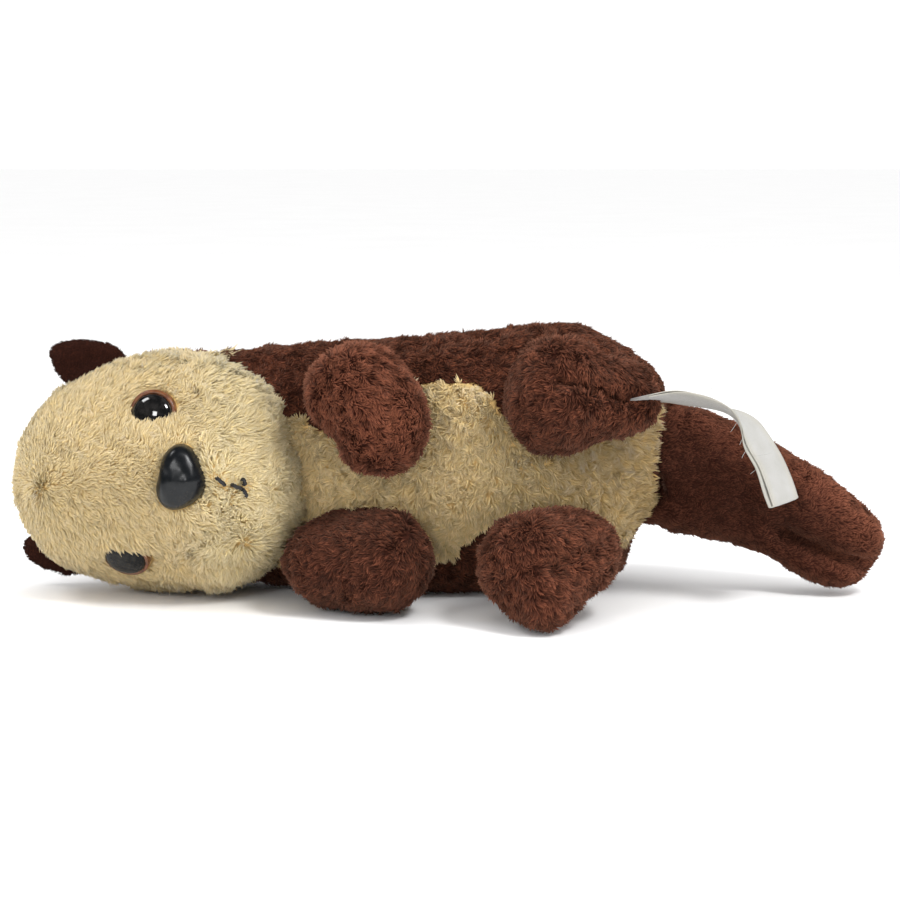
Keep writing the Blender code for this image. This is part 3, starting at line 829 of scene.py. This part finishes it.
def make_coat(name, style, roots, normals, lie, sizes, painted_shading, pale, middle, half, seed):
    """One mesh of closed locks, each bent once and drawn to a point at both ends."""
    rng = np.random.default_rng(seed)
    count = len(roots)
    flow = lie + SWIRL * vector_waves(roots, SWIRL_WAVE, 40)
    flow += style.stray * vector_waves(roots, STRAY_WAVE, 50)
    flow += style.scatter * rng.normal(size=(count, 3))
    along = flattened(flow, normals)
    laid = LEAST_LAID + (1.0 - LEAST_LAID) * np.clip(np.linalg.norm(along, axis=1) / FULL_FLOW, 0.0, 1.0)
    flow = unit(along)
    side = np.cross(normals, flow)
    lean = np.radians(style.lean * laid + LEAN_UNEVEN * rng.normal(size=count))[:, None]
    droop = lean + np.radians(style.droop + DROOP_UNEVEN * rng.normal(size=count))[:, None]
    bend = np.radians(style.curl * (0.4 * rng.normal(size=count) + waves(roots, CURL_WAVE, 60)))[:, None]
    length = (style.length * sizes * rng.uniform(*LENGTHS, count))[:, None]
    width = (style.width * np.sqrt(sizes) * (1.6 - 0.6 * laid) * rng.uniform(*WIDTHS, count))[:, None]

    first = np.cos(lean) * normals + np.sin(lean) * flow
    turned = np.cos(bend) * flow + np.sin(bend) * side
    second = np.cos(droop) * normals + np.sin(droop) * turned
    base = roots - ROOT_DEPTH * normals
    waist = roots + RING_PLACE * length * first
    tips = waist + (1.0 - RING_PLACE) * length * second

    leader = nearest_clump(roots, rng, CLUMP_LEADERS)
    offset = roots - roots[leader]
    close = style.clump * fading(lengths(offset), CLUMP_REACH)
    tips += close * (tips[leader] + 0.25 * offset - tips)
    waist += 0.4 * close * (waist[leader] + 0.65 * offset - waist)

    left, right = waist - 0.5 * width * side, waist + 0.5 * width * side
    hollow = np.sum(np.cross(left - base, right - base) * (tips - base), axis=1) > 0.0
    left[hollow], right[hollow] = right[hollow], left[hollow].copy()
    ends = np.stack([base, left, right, tips], axis=1)
    ends[:, :, 2] = np.maximum(ends[:, :, 2], FLOOR_GAP)
    soft = style.softness
    shading = np.stack([normals, soft * normals - (1.0 - soft) * side, soft * normals + (1.0 - soft) * side,
                        normals + 0.3 * second], axis=1)
    shading[hollow, 1], shading[hollow, 2] = shading[hollow, 2], shading[hollow, 1].copy()

    patch = unwrapped(roots, middle, half)
    patch = 0.01 + 0.98 * (patch - patch.min(axis=0)) / np.ptp(patch, axis=0)
    corner_map = patch[:, None, :] + 0.5 * PATCH * LOCK_MAP
    # each region's painted light and shade, plus uneven tone from lock to lock
    shade = painted_shading + style.uneven * (rng.normal(size=count) + 0.7 * waves(roots, TONE_WAVE, 70))
    shade = np.clip(shade, 0.0, 1.0)

    corners = (np.arange(count)[:, None, None] * len(LOCK_ALONG) + LOCK_FACES[None]).ravel()
    mesh = bpy.data.meshes.new(name)
    mesh.vertices.add(count * len(LOCK_ALONG))
    mesh.vertices.foreach_set("co", (ends * MM).astype(np.float32).ravel())
    mesh.loops.add(len(corners))
    mesh.loops.foreach_set("vertex_index", corners.astype(np.int32))
    mesh.polygons.add(count * len(LOCK_FACES))
    mesh.polygons.foreach_set("loop_start", np.arange(0, len(corners), 3, dtype=np.int32))
    mesh.update(calc_edges=True)
    mesh.shade_smooth()
    layer = mesh.uv_layers.new(name="OFBake")
    layer.data.foreach_set("uv", corner_map[:, LOCK_FACES.ravel()].astype(np.float32).ravel())
    set_values(mesh, along=np.tile(LOCK_ALONG, count), shade=np.repeat(shade, len(LOCK_ALONG)),
               pale=np.repeat(pale, len(LOCK_ALONG)))
    mesh.normals_split_custom_set_from_vertices(unit(shading).reshape(-1, 3))
    dress(placed(name, mesh), style.material, style.slot)


# ---- lie of the plush at each root: direction, relative length, tone as painted light and shade, and paleness ----

LEAST_FLOW = 0.38


def away_from(points, source, reach):
    """Directions away from a source, fading over its reach."""
    ray = points - source
    gap = lengths(ray)
    return ray / (gap + 1.2) * fading(gap, reach)


def laid_down(flow):
    """The same directions, nowhere so weak that the pile stands up."""
    return flow * np.maximum(1.0, LEAST_FLOW / (lengths(flow) + 1e-6))


# whorls on the forehead, the lower cheek and the mouth: shares of the face's box, pull, reach
FACE_WHORLS = (
    ((0.1, 0.32, 0.47), 1.3, 30.0),
    ((0.82, 0.22, 0.24), 1.5, 11.0),
    ((0.76, 0.03, 0.53), 0.3, 5.0),
)
LID_REACH = 2.2  # of the pile that turns over an eye
LID_LONGER = {"eye_left": 0.15, "eye_right": 0.45}
NOSE_REACH = 1.8
STITCH_REACH = 0.9  # pile is pressed down this near a stitch


def face_lie(points):
    """From the whorls and away from the middle of the face, with lids, cheeks and a fringe at its edge."""
    nose = np.mean(box("nose"), axis=0)
    low, high = box("head_face")
    x, y, z = points.T
    muzzle = ramp_up(x, nose[0] - 2.0, nose[0] + 8.0)
    flow = np.zeros_like(points)
    flow[:, 2] += np.clip((z - nose[2]) / 9.0, -1.0, 1.0) * (0.75 - 0.35 * muzzle)
    flow[:, 0] += 0.25 + 0.65 * muzzle * ramp_up(z, nose[2] - 2.0, nose[2] + 6.0)
    for shares, pull, reach in FACE_WHORLS:
        flow += pull * away_from(points, at_share("head_face", shares), reach)
    rim = ramp_up(y, high[1] - 9.0, high[1] - 1.0)
    outward = points - 0.5 * (low + high)
    outward[:, 1] = 6.0
    flow = flow * (1.0 - 0.6 * rim)[:, None] + 1.4 * rim[:, None] * unit(outward)
    fringe = rim * muzzle
    ragged = 0.8 + 0.35 * waves(points, 4.0, 90)
    sizes = 0.86 + 0.26 * muzzle * ramp_up(np.abs(z - nose[2]), 4.0, 14.0) + ragged * fringe

    for eye in EYE_TURNS:
        middle = np.mean(box(eye), axis=0)
        side = np.sign(middle[2] - nose[2])
        near = fading(np.maximum(beyond_edge(points, eye), 0.0), LID_REACH) * (y < middle[1] + 6.0)
        inner = near * ramp_up(side * (middle[2] - z), 0.5, 2.5)
        outer = near * ramp_up(side * (z - middle[2]), -1.0, 1.0)
        flow += 2.5 * inner[:, None] * np.array([0.0, 0.0, side])
        flow += 2.0 * outer[:, None] * np.array([0.8, 0.0, -0.2 * side])
        sizes *= (1.0 - 0.15 * outer) * (1.0 + LID_LONGER[eye] * inner)
    by_nose = fading(np.maximum(beyond_edge(points, "nose"), 0.0), NOSE_REACH) * (y < nose[1] + 6.0)
    right = ramp_up(x, nose[0] + 2.0, nose[0] + 4.5)
    sizes *= 1.0 - 0.15 * by_nose * (1.0 - right) + 0.15 * by_nose * right
    beside = by_nose * right * ramp_up(z, nose[2] - 4.0, nose[2] - 1.0)
    flow += 2.6 * beside[:, None] * np.array([-1.0, 0.0, 0.1])
    flow = laid_down(flow) * (1.0 - 0.8 * fringe)[:, None]
    for stitch in STITCHES:
        gap = line_distance(points[:, [0, 2]], front_line("head_face", stitch))
        sizes *= 1.0 - 0.5 * fading(gap, STITCH_REACH) * (y < nose[1] + 9.0)
    # painted light: lighter over the muzzle and most on the chin; painted shade: darker towards the crown
    chin = muzzle * (1.0 - ramp_up(z, nose[2] - 2.0, nose[2] + 9.0))
    painted_shading = 0.42 + 0.04 * muzzle + 0.14 * chin - 0.05 * ramp_up(z, nose[2] + 6.0, high[2])
    return flow, sizes, painted_shading, 0.45 + 0.45 * muzzle


def head_back_lie(points):
    return away_from(points, at_share("head_back", (0.2, 1.0, 0.5)), 60.0) + (0.3, 0.0, -0.2), 1.0, 0.42, 0.5


def belly_lie(points):
    """Curling across the belly, falling down lower on it, and back over the tail at the rear; painted shade,
    warmer in tint, towards the rear, at the neck and under the left arm and foot.
    """
    low, high = box("belly")
    x, _, z = points.T
    along = ramp_up(x, low[0] + 30.0, high[0] - 12.0)
    fall = 1.0 - ramp_up(z, low[2] + 6.0, low[2] + 24.0)
    flow = np.stack([-0.5 + 1.3 * along, 0.0 * x, -0.45 - 0.5 * fall], axis=1)
    rear = ramp_up(x, high[0] - 9.0, high[0] - 2.0)
    flow += rear[:, None] * np.array([1.6, 0.0, 0.25])
    neck = 1.0 - ramp_up(x, low[0] + 2.0, low[0] + 16.0)
    # painted shade with a warmer tint, towards the rear and at the neck
    shaded = ramp_up(x, high[0] - 30.0, high[0] - 10.0)
    painted_shading = 0.54 - 0.42 * shaded - 0.16 * neck
    # painted shadow under the left arm and foot
    for limb in ("arm_left", "foot_left"):
        painted_shading -= 0.42 * fading(distance_to(NODE_TREES[limb], points), 6.0)
    return laid_down(flow), 1.0 + 0.3 * rear, painted_shading, 0.3 - 0.1 * neck - 0.25 * shaded


# the trunk's low tone is painted shade
def trunk_lie(points):
    return np.tile((0.8, 0.0, -0.35), (len(points), 1)), 0.85, 0.18, 0.3


def tail_lie(points):
    """Down the tail and away from its crease; painted light and sheen along its upper edge and towards its
    end, a little along its lower edge, and painted shade in its middle.
    """
    x, _, z = in_shares("tail", points).T
    side = np.clip((z - (0.42 - 0.36 * x)) / 0.15, -1.0, 1.0)
    flow = np.stack([np.full(len(points), 0.9), np.full(len(points), -0.2), 0.35 * side - 0.15], axis=1)
    across = (z - 0.77 + 0.6 * x) / (0.4 - 0.2 * x)
    # painted light on the edges and the end, painted shade between them; the tint follows it
    painted_light = 0.7 * ramp_up(across, 0.25, 1.0) + 0.3 * ramp_up(-across, 0.4, 1.0)
    painted_light = np.clip(painted_light + 0.6 * ramp_up(x, 0.55, 0.95), 0.0, 1.0)
    return flow, 0.68, 0.12 + 0.76 * painted_light, 0.5 + 0.25 * painted_light


# where the pile of each limb starts, as (x, z) shares of its box, the pull away from there (or towards
# it, below zero), the way it falls further out, and its tone, painted light and shade on the same brown cloth
LIMB_LIES = {
    "arm_left": ((0.7, 0.5), -1.2, (0.05, 0.0, -0.25), 0.84),
    "arm_right": ((0.77, 0.83), 1.2, (-0.45, 0.0, -0.3), 0.2),
    "foot_left": ((0.6, 0.6), 0.7, (-0.6, 0.0, -0.42), 0.34),
    "foot_right": ((0.32, 0.57), 1.2, (0.15, 0.0, -0.05), 0.42),
}
# a crease across which it turns: corners as (x, z) shares, and the way it lies above
LIMB_CREASES = {
    "foot_left": ((0.332, 0.707), (0.741, 0.515), (0.1, 0.0, -1.2)),
    "foot_right": ((0.516, 0.633), (0.845, 0.752), (0.55, 0.0, -1.1)),
}


def limb_lie(node):
    start, pull, fall, painted_tone = LIMB_LIES[node]

    def lie(points):
        low, high = box(node)
        ray = (points - low) * (1.0, 0.0, 1.0) - (high - low) * (start[0], 0.0, start[1])
        gap = lengths(ray)
        flow = pull * ray / (gap + 1.0) * fading(gap, 16.0) + np.array(fall)
        if node in LIMB_CREASES:
            first, last, above = LIMB_CREASES[node]
            x, _, z = in_shares(node, points).T
            line = first[1] + (last[1] - first[1]) * (x - first[0]) / (last[0] - first[0])
            over = ramp_up(z, line, line + 0.08)[:, None]
            flow = flow * (1.0 - over) + np.array(above) * over
        return laid_down(flow), 1.05, painted_tone, 0.5
    return lie


def ear_lie(node):
    def lie(points):
        return away_from(points, at_share(node, (1.2, 0.5, 0.3)), 60.0), 1.0, 0.5, 0.5
    return lie


# ---- build the plush ----

# name of the coat, skin, whether it is the cream cloth, style, lie
COATS = [
    ("coat_face", "head", True, CREAM_STYLE, face_lie),
    ("coat_head_back", "head", False, BROWN_STYLE, head_back_lie),
    ("coat_belly", "trunk", True, BELLY_STYLE, belly_lie),
    ("coat_trunk", "trunk", False, BROWN_STYLE, trunk_lie),
    ("coat_tail", "tail", False, TAIL_STYLE, tail_lie),
]
COATS += [("coat_" + limb, limb, False, BROWN_STYLE, limb_lie(limb)) for limb in LIMB_LIES]
COATS += [("coat_" + ear, ear, False, EAR_STYLE, ear_lie(ear)) for ear in ("ear_left", "ear_right")]


def chosen_faces(skin, cream):
    face_cream = skin.cream[skin.quads].mean(axis=1) > 0.5
    free = skin.sewn[skin.quads].mean(axis=1) < 0.97
    return np.flatnonzero(free & (face_cream == cream))


def coat_roots(name, cream, density, skins, trees, rng):
    """Roots on one skin, away from its neighbours and from the hard pieces."""
    skin = skins[name]
    roots, normals = scatter(skin, chosen_faces(skin, cream), density, rng)
    crushed = (normals[:, 2] < -0.9) & (roots[:, 2] < FLOOR_PILE + 0.3)
    keep = ~crushed | (rng.random(len(roots)) < 0.5)
    low, high = roots.min(axis=0), roots.max(axis=0)
    for other, tree in trees.items():
        other_low, other_high = skins[other].points.min(axis=0), skins[other].points.max(axis=0)
        if other != name and np.all(other_low < high) and np.all(other_high > low):
            keep &= outside(tree, roots, -0.15)
    if name == "head":
        for node, clearance in ROOT_CLEARANCE.items():
            over = in_frame(roots, *seen_frame(node))[:, 2] > LID_HEIGHT
            keep &= (beyond_edge(roots, node) > clearance) | (normals[:, 1] > 0.3) | over
    return roots[keep], normals[keep]


def cover(label, style, lie, roots, normals, skin, seed):
    """One coat over a skin, split from head to tail where it has too many locks for one piece."""
    flow, *looks = lie(roots)
    rows = [roots, normals, flow] + [np.broadcast_to(look, len(roots)) for look in looks]
    order = np.argsort(roots[:, 0], kind="stable")
    parts = np.array_split(order, max(1, math.ceil(len(order) / MOST_LOCKS)))
    for k, part in enumerate(parts):
        piece_name = label if len(parts) == 1 else f"{label}_{k + 1}"
        make_coat(piece_name, style, *(row[part] for row in rows), middle_of(skin.points),
                  0.5 * np.ptp(skin.points, axis=0), seed + 31 * k)


def build_plush():
    skins = {name: make_skin(name) for name in SKINS}
    for name, skin in skins.items():
        skin.smooth_normals = skin.smooth(skin.normals(), 2)
        show_skin(name, skin)
    trees = {name: tree_of(skin.points, skin.quads.tolist()) for name, skin in skins.items()}
    weighted = sum(skins[name].areas(chosen_faces(skins[name], cream)).sum() * style.density
                   for _, name, cream, style, _ in COATS)
    for k, (label, name, cream, style, lie) in enumerate(COATS, 1):
        density = style.density * ALL_LOCKS / weighted
        roots, normals = coat_roots(name, cream, density, skins, trees, np.random.default_rng(100 * k))
        cover(label, style, lie, roots, normals, skins[name], 100 * k + 7)


# ---- eyes and nose ----

def turned(profile, edge):
    """Closed solid about Z: (share, height) rows from axis to axis, and the edge they are shares of."""
    angles = angles_round(len(edge))
    points = [(0.0, 0.0, profile[0][1])]
    for share, height in profile[1:-1]:
        points += zip(edge * share * np.cos(angles), edge * share * np.sin(angles), [height] * len(edge))
    points.append((0.0, 0.0, profile[-1][1]))
    return np.array(points), capped_faces(len(profile) - 2, len(edge))


def make_eye(node):
    """A black dome set in a red-brown rim."""
    middle, outward = seen_frame(node)
    towards_nose = math.copysign(BLACK_SHIFT, np.mean(box("nose"), axis=0)[2] - middle[2])
    steps = [0.5 * np.pi * k / 16 for k in range(16)]
    dome = [(0.0, DOME_BACK), (BLACK_RADIUS - 0.15, DOME_BACK), (BLACK_RADIUS, DOME_BACK + 0.15)]
    dome += [(BLACK_RADIUS * math.cos(a), EYE_BARREL + 0.25 + (EYE_RISE - 0.3) * math.sin(a)) for a in steps]
    dome.append((0.0, EYE_BARREL + EYE_RISE - 0.05))
    points, faces = turned(dome, np.ones(EYE_AROUND))
    points = points + (0.0, towards_nose, 0.0)
    closed_piece(node + "_dome", aimed(points, middle, outward), faces, EYE_DOMES[node], "eye_plastic", node)

    inner = BLACK_RADIUS - BLACK_SHIFT - 0.1
    rim = [(0.0, 0.05), (EYE_RADIUS - 0.1, 0.05), (EYE_RADIUS, 0.2), (EYE_RADIUS, EYE_BARREL - 0.3)]
    for k in range(9):
        angle = np.pi * k / 8
        rim.append((inner + 0.5 * (EYE_RADIUS - inner) * (1.0 + math.cos(angle)),
                    EYE_BARREL - 0.1 + 0.75 * math.sin(angle)))
    rim += [(inner, RIM_FLOOR), (0.0, RIM_FLOOR)]
    points, faces = turned(rim, np.ones(EYE_AROUND))
    closed_piece(node + "_rim", aimed(points, middle, outward), faces, EYE_RIM, "eye_plastic")


def make_nose():
    """Moulded nose with a full, slightly uneven crown."""
    middle, outward = seen_frame("nose")
    rows = curve_through(NOSE_RISE, 40)
    rows = np.vstack([(0.0, rows[0, 1]), rows, (0.0, NOSE_TOP)]) - (0.0, rows[0, 1])
    points, faces = turned(rows, nose_outline(angles_round(NOSE_AROUND)))
    lumps = 0.1 * waves(points, 6.0, 11) + 0.04 * waves(points, 2.6, 12)
    points[:, 2] += ramp_up(points[:, 2], 3.5, 6.0) * lumps
    closed_piece("nose_shell", aimed(points, middle, outward), faces, NOSE_SHELL, "nose_plastic", "nose")


# ---- mouth thread ----

# stitches as (x, z) shares of the face's box; each dips into the pile at its ends
STITCHES = (
    ((0.741, 0.549), (0.77, 0.517)),
    ((0.792, 0.518), (0.82, 0.5)),
    ((0.825, 0.538), (0.831, 0.514)),
    ((0.826, 0.496), (0.835, 0.466)),
)
LOOSE_STITCH = ((0.815, 0.45), (0.775, 0.4))  # the last one has sunk into the pile
THREAD_RADIUS = 0.37
THREAD_DEPTH = -0.42  # of its middle in the frame's face; below zero it stands out
LOOSE_DEPTH = 1.2
STITCH_DIP = 1.6


def on_front(node, x_share, z_share):
    """Point of a node's surface met from -Y, and its outward direction."""
    start = Vector(at_share(node, (x_share, -1.0, z_share)))
    place, normal, _, _ = NODE_TREES[node].ray_cast(start, Vector((0.0, 1.0, 0.0)))
    return np.array(place), np.array(normal)


def tube(path, radius, around, twist=0.0, lobes=0.0):
    """Closed tube along a path, with rounded ends; lobes and twist give it plied strands."""
    along = unit(np.gradient(path, axis=0))
    side = unit(np.cross(along, (0.3, -1.0, 0.2)))
    rise = np.cross(along, side)
    angles = angles_round(around)
    points = [path[0] - 0.6 * radius * along[0]]
    for i in range(len(path)):
        end = min(i, len(path) - 1 - i)
        size = radius * (0.75 if end == 0 else 1.0)
        reach = size * (1.0 + lobes * np.cos(3.0 * angles + twist * i))
        points += list(path[i] + np.outer(np.cos(angles) * reach, side[i])
                       + np.outer(np.sin(angles) * reach, rise[i]))
    points.append(path[-1] + 0.6 * radius * along[-1])
    return points, capped_faces(len(path), around)


def join(parts):
    """Several (points, faces) as one."""
    points, faces = [], []
    for part_points, part_faces in parts:
        start = len(points)
        points += list(part_points)
        faces += [tuple(start + corner for corner in face) for face in part_faces]
    return np.array(points), faces


def make_mouth():
    parts = []
    for (x0, z0), (x1, z1) in STITCHES + (LOOSE_STITCH,):
        depth = LOOSE_DEPTH if ((x0, z0), (x1, z1)) == LOOSE_STITCH else THREAD_DEPTH
        path = []
        for share in np.linspace(0.0, 1.0, 15):
            place, normal = on_front("head_face", x0 + (x1 - x0) * share, z0 + (z1 - z0) * share)
            dip = STITCH_DIP * (2.0 * share - 1.0) ** 6
            path.append(place - normal * (depth + dip))
        parts.append(tube(np.array(path), THREAD_RADIUS, around=12, twist=0.9, lobes=0.16))
    closed_piece("mouth_thread", *join(parts), THREAD, "nose_plastic")


# ---- label ----

# middle line of the folded tape, as shares of its node's box, and the way across it
LABEL_LINE = ((0.03, 0.26, 0.94), (0.29, 0.487, 0.925), (0.6, 0.684, 0.76), (0.8, 0.74, 0.405),
              (0.9, 0.628, 0.03))
# share of its length, and the way across it there
LABEL_ACROSS = ((0.0, (0.0, -0.98, 0.2)), (0.26, (-0.02, -0.94, 0.33)), (0.42, (-0.25, -0.9, 0.31)),
                (0.62, (-0.64, -0.72, 0.22)), (1.0, (-0.66, -0.72, 0.18)))
TAPE_WIDTH = 10.5
TAPE_THICK = 0.24
TAPE_RIPPLE = 0.07
PLY_GAP = 0.24  # from the tape's middle line to the middle of each ply
SEAM_GAP = 0.1  # the same where it is sewn in
PLY_SHIFT = 1.0  # how far the back ply shows beside the front one
TAPE_ROWS = 60
TAPE_COLUMNS = 14
STRAND_ROWS = (20, 24, 27, 29, 31, 33, 34, 36, 38, 41, 45, 52)
STRAND_LENGTHS = (1.5, 3.6)
STRAND_RADIUS = 0.045


def label_frame():
    """Middle line of the label with the directions across the tape and out of its front."""
    line = curve_through([at_share("label", share) for share in LABEL_LINE], TAPE_ROWS)
    along = unit(np.gradient(line, axis=0))
    shares, ways = zip(*LABEL_ACROSS)
    spots = np.linspace(0.0, 1.0, TAPE_ROWS)
    across = np.stack([np.interp(spots, shares, column) for column in zip(*ways)], axis=1)
    for _ in range(6):
        across[1:-1] = 0.25 * across[:-2] + 0.5 * across[1:-1] + 0.25 * across[2:]
    across = unit(flattened(across, along))
    return line, along, across, np.cross(along, across)


def make_label():
    """Blank tape, sewn in at one end and folded once at the other, so it hangs in two plies."""
    line, along, across, out = label_frame()
    if out[-1, 1] > 0.0:
        out = -out
    spread = np.sin(np.pi * np.clip(np.linspace(0.0, 1.15, TAPE_ROWS), 0.0, 1.0) * 0.5) ** 2
    gap = (SEAM_GAP + (PLY_GAP - SEAM_GAP) * spread)[:, None]
    shift = (PLY_SHIFT * spread)[:, None]
    front = line + out * gap - across * 0.5 * shift
    back = line - out * gap + across * 0.5 * shift
    fold = [line[-1] + along[-1] * PLY_GAP * math.sin(a) + out[-1] * PLY_GAP * math.cos(a)
            + across[-1] * (0.5 * PLY_SHIFT * -math.cos(a))
            for a in np.linspace(0.0, np.pi, 9)[1:-1]]
    path = np.vstack([front, fold, back[::-1]])
    ways = np.vstack([across, np.tile(across[-1], (len(fold), 1)), across[::-1]])
    tangents = unit(np.gradient(path, axis=0))
    normals = unit(np.cross(ways, tangents))
    travel = np.concatenate([[0.0], np.cumsum(np.linalg.norm(np.diff(path, axis=0), axis=1))])

    columns = np.linspace(-1.0, 1.0, TAPE_COLUMNS)
    section = [(c, 1.0) for c in columns] + [(c, -1.0) for c in columns[::-1]]
    ripple = TAPE_RIPPLE * waves(path, 9.0, 21)
    points = []
    for i in range(len(path)):
        for c, sign in section:
            curl = ripple[i] * (c * c - 0.3)
            edge = TAPE_THICK * (0.5 if abs(c) < 0.99 else 0.32)
            points.append(path[i] + ways[i] * 0.5 * TAPE_WIDTH * c + normals[i] * (sign * edge + curl))
    u_values = np.tile([c for c, _ in section], len(path))
    v_values = np.repeat(travel, len(section))
    ring = len(section)
    faces = ring_quads(len(path), ring)
    for first in (0, (len(path) - 1) * ring):
        faces += [(first + j, first + j + 1, first + ring - 2 - j, first + ring - 1 - j)
                  for j in range(TAPE_COLUMNS - 1)]
    label = closed_piece("label_tape", points, faces, TAPE, "label_tape", "label")
    set_values(label.data, tape_across=u_values, tape_along=v_values, tape_edge=np.abs(u_values))
    strands = make_strands(path, ways, normals)


def make_strands(path, ways, normals):
    """A few loose ends of the tape's own threads along its cut edge."""
    rng = np.random.default_rng(77)
    parts = []
    for place in STRAND_ROWS:
        start = path[place] + ways[place] * 0.49 * TAPE_WIDTH
        way = ways[place] * (1.0, 0.5, 1.0) - (0.3, 0.0, 0.5) + 0.7 * rng.normal(size=3) * (1.0, 0.4, 1.0)
        bend = unit(rng.normal(size=3))
        steps = np.linspace(0.0, 1.0, 9)[:, None]
        length = rng.uniform(*STRAND_LENGTHS)
        strand = start + unit(way) * length * steps + bend * 0.35 * length * steps ** 2
        parts.append(tube(strand, STRAND_RADIUS, 5))
    return closed_piece("label_strands", *join(parts), TAPE, "label_tape")


# ---- stage ----

# the lights that mirror in the eyes and the nose: name, way from the toy, side, power
SOFTBOXES = (
    ("softbox_left", (-0.65, -0.06, 0.75), 150.0, 0.6),
    ("softbox_front", (-0.33, -0.88, 0.34), 95.0, 0.36),
    ("softbox_side", (0.45, -0.49, 0.75), 120.0, 1.45),
)
SOFTBOX_DISTANCE = 520.0
# and those that don't: name, place from the toy, sides, power
PANELS = (
    ("softbox_fill", (500.0, -210.0, 110.0), (360.0, 260.0), 0.55),
    ("softbox_top", (0.0, 60.0, 700.0), (700.0, 500.0), 1.0),
)
FLOOR_HALF = 6000.0
WORLD_STRENGTH = 1.1


def looking(name, data, place, focus):
    """A lamp or camera in its place, turned to the toy."""
    made = placed(name, data)
    made.location = Vector(place) * MM
    made.rotation_mode = "QUATERNION"
    made.rotation_quaternion = (Vector(focus) - Vector(place)).to_track_quat("-Z", "Y")
    return made


def add_light(name, place, sides, power, focus, mirrored):
    data = bpy.data.lights.new(name, "AREA")
    data.shape = "RECTANGLE"
    data.size, data.size_y = sides[0] * MM, sides[1] * MM
    data.energy = power
    looking(name, data, place, focus).visible_glossy = mirrored


def add_stage(focus):
    corners = FLOOR_HALF * np.array([(-1, -1, 0), (1, -1, 0), (1, 1, 0), (-1, 1, 0)])
    floor = make_mesh("floor", corners, [(0, 1, 2, 3)], smooth=False)
    n = Nodes("floor_paper")
    colour = n.ramp(n.noise(12.0, 3.0), ((0.3, (0.955, 0.955, 0.955)), (0.7, (0.975, 0.975, 0.975))))
    floor.data.materials.append(n.finish(colour, Roughness=0.8, Specular_IOR_Level=0.2))
    world = bpy.data.worlds.new("studio")
    world.use_nodes = True
    background = world.node_tree.nodes["Background"].inputs
    background["Color"].default_value = (1.0, 1.0, 1.0, 1.0)
    background["Strength"].default_value = WORLD_STRENGTH
    world.cycles_visibility.glossy = False
    bpy.context.scene.world = world
    for name, way, side, power in SOFTBOXES:
        add_light(name, focus + SOFTBOX_DISTANCE * unit(np.array(way)), (side, side), power, focus, True)
    for name, place, sides, power in PANELS:
        add_light(name, focus + place, sides, power, focus, False)


def add_camera(focus):
    angle = math.radians(CAMERA_HEIGHT_ANGLE)
    back = np.array([0.0, -math.cos(angle), math.sin(angle)])
    data = bpy.data.cameras.new("camera")
    data.lens = CAMERA_LENS
    bpy.context.scene.camera = looking("camera", data, focus + back * CAMERA_DISTANCE, focus)
    bpy.context.scene.view_settings.view_transform = "Standard"


toy_low, toy_high = (np.array(corner) / MM for corner in CAD_BOX)
toy_focus = toy_low + (toy_high - toy_low) * np.array(CAMERA_FOCUS)
add_stage(toy_focus)
add_camera(toy_focus)
build_plush()
for eye in EYE_TURNS:
    make_eye(eye)
make_nose()
make_mouth()
make_label()
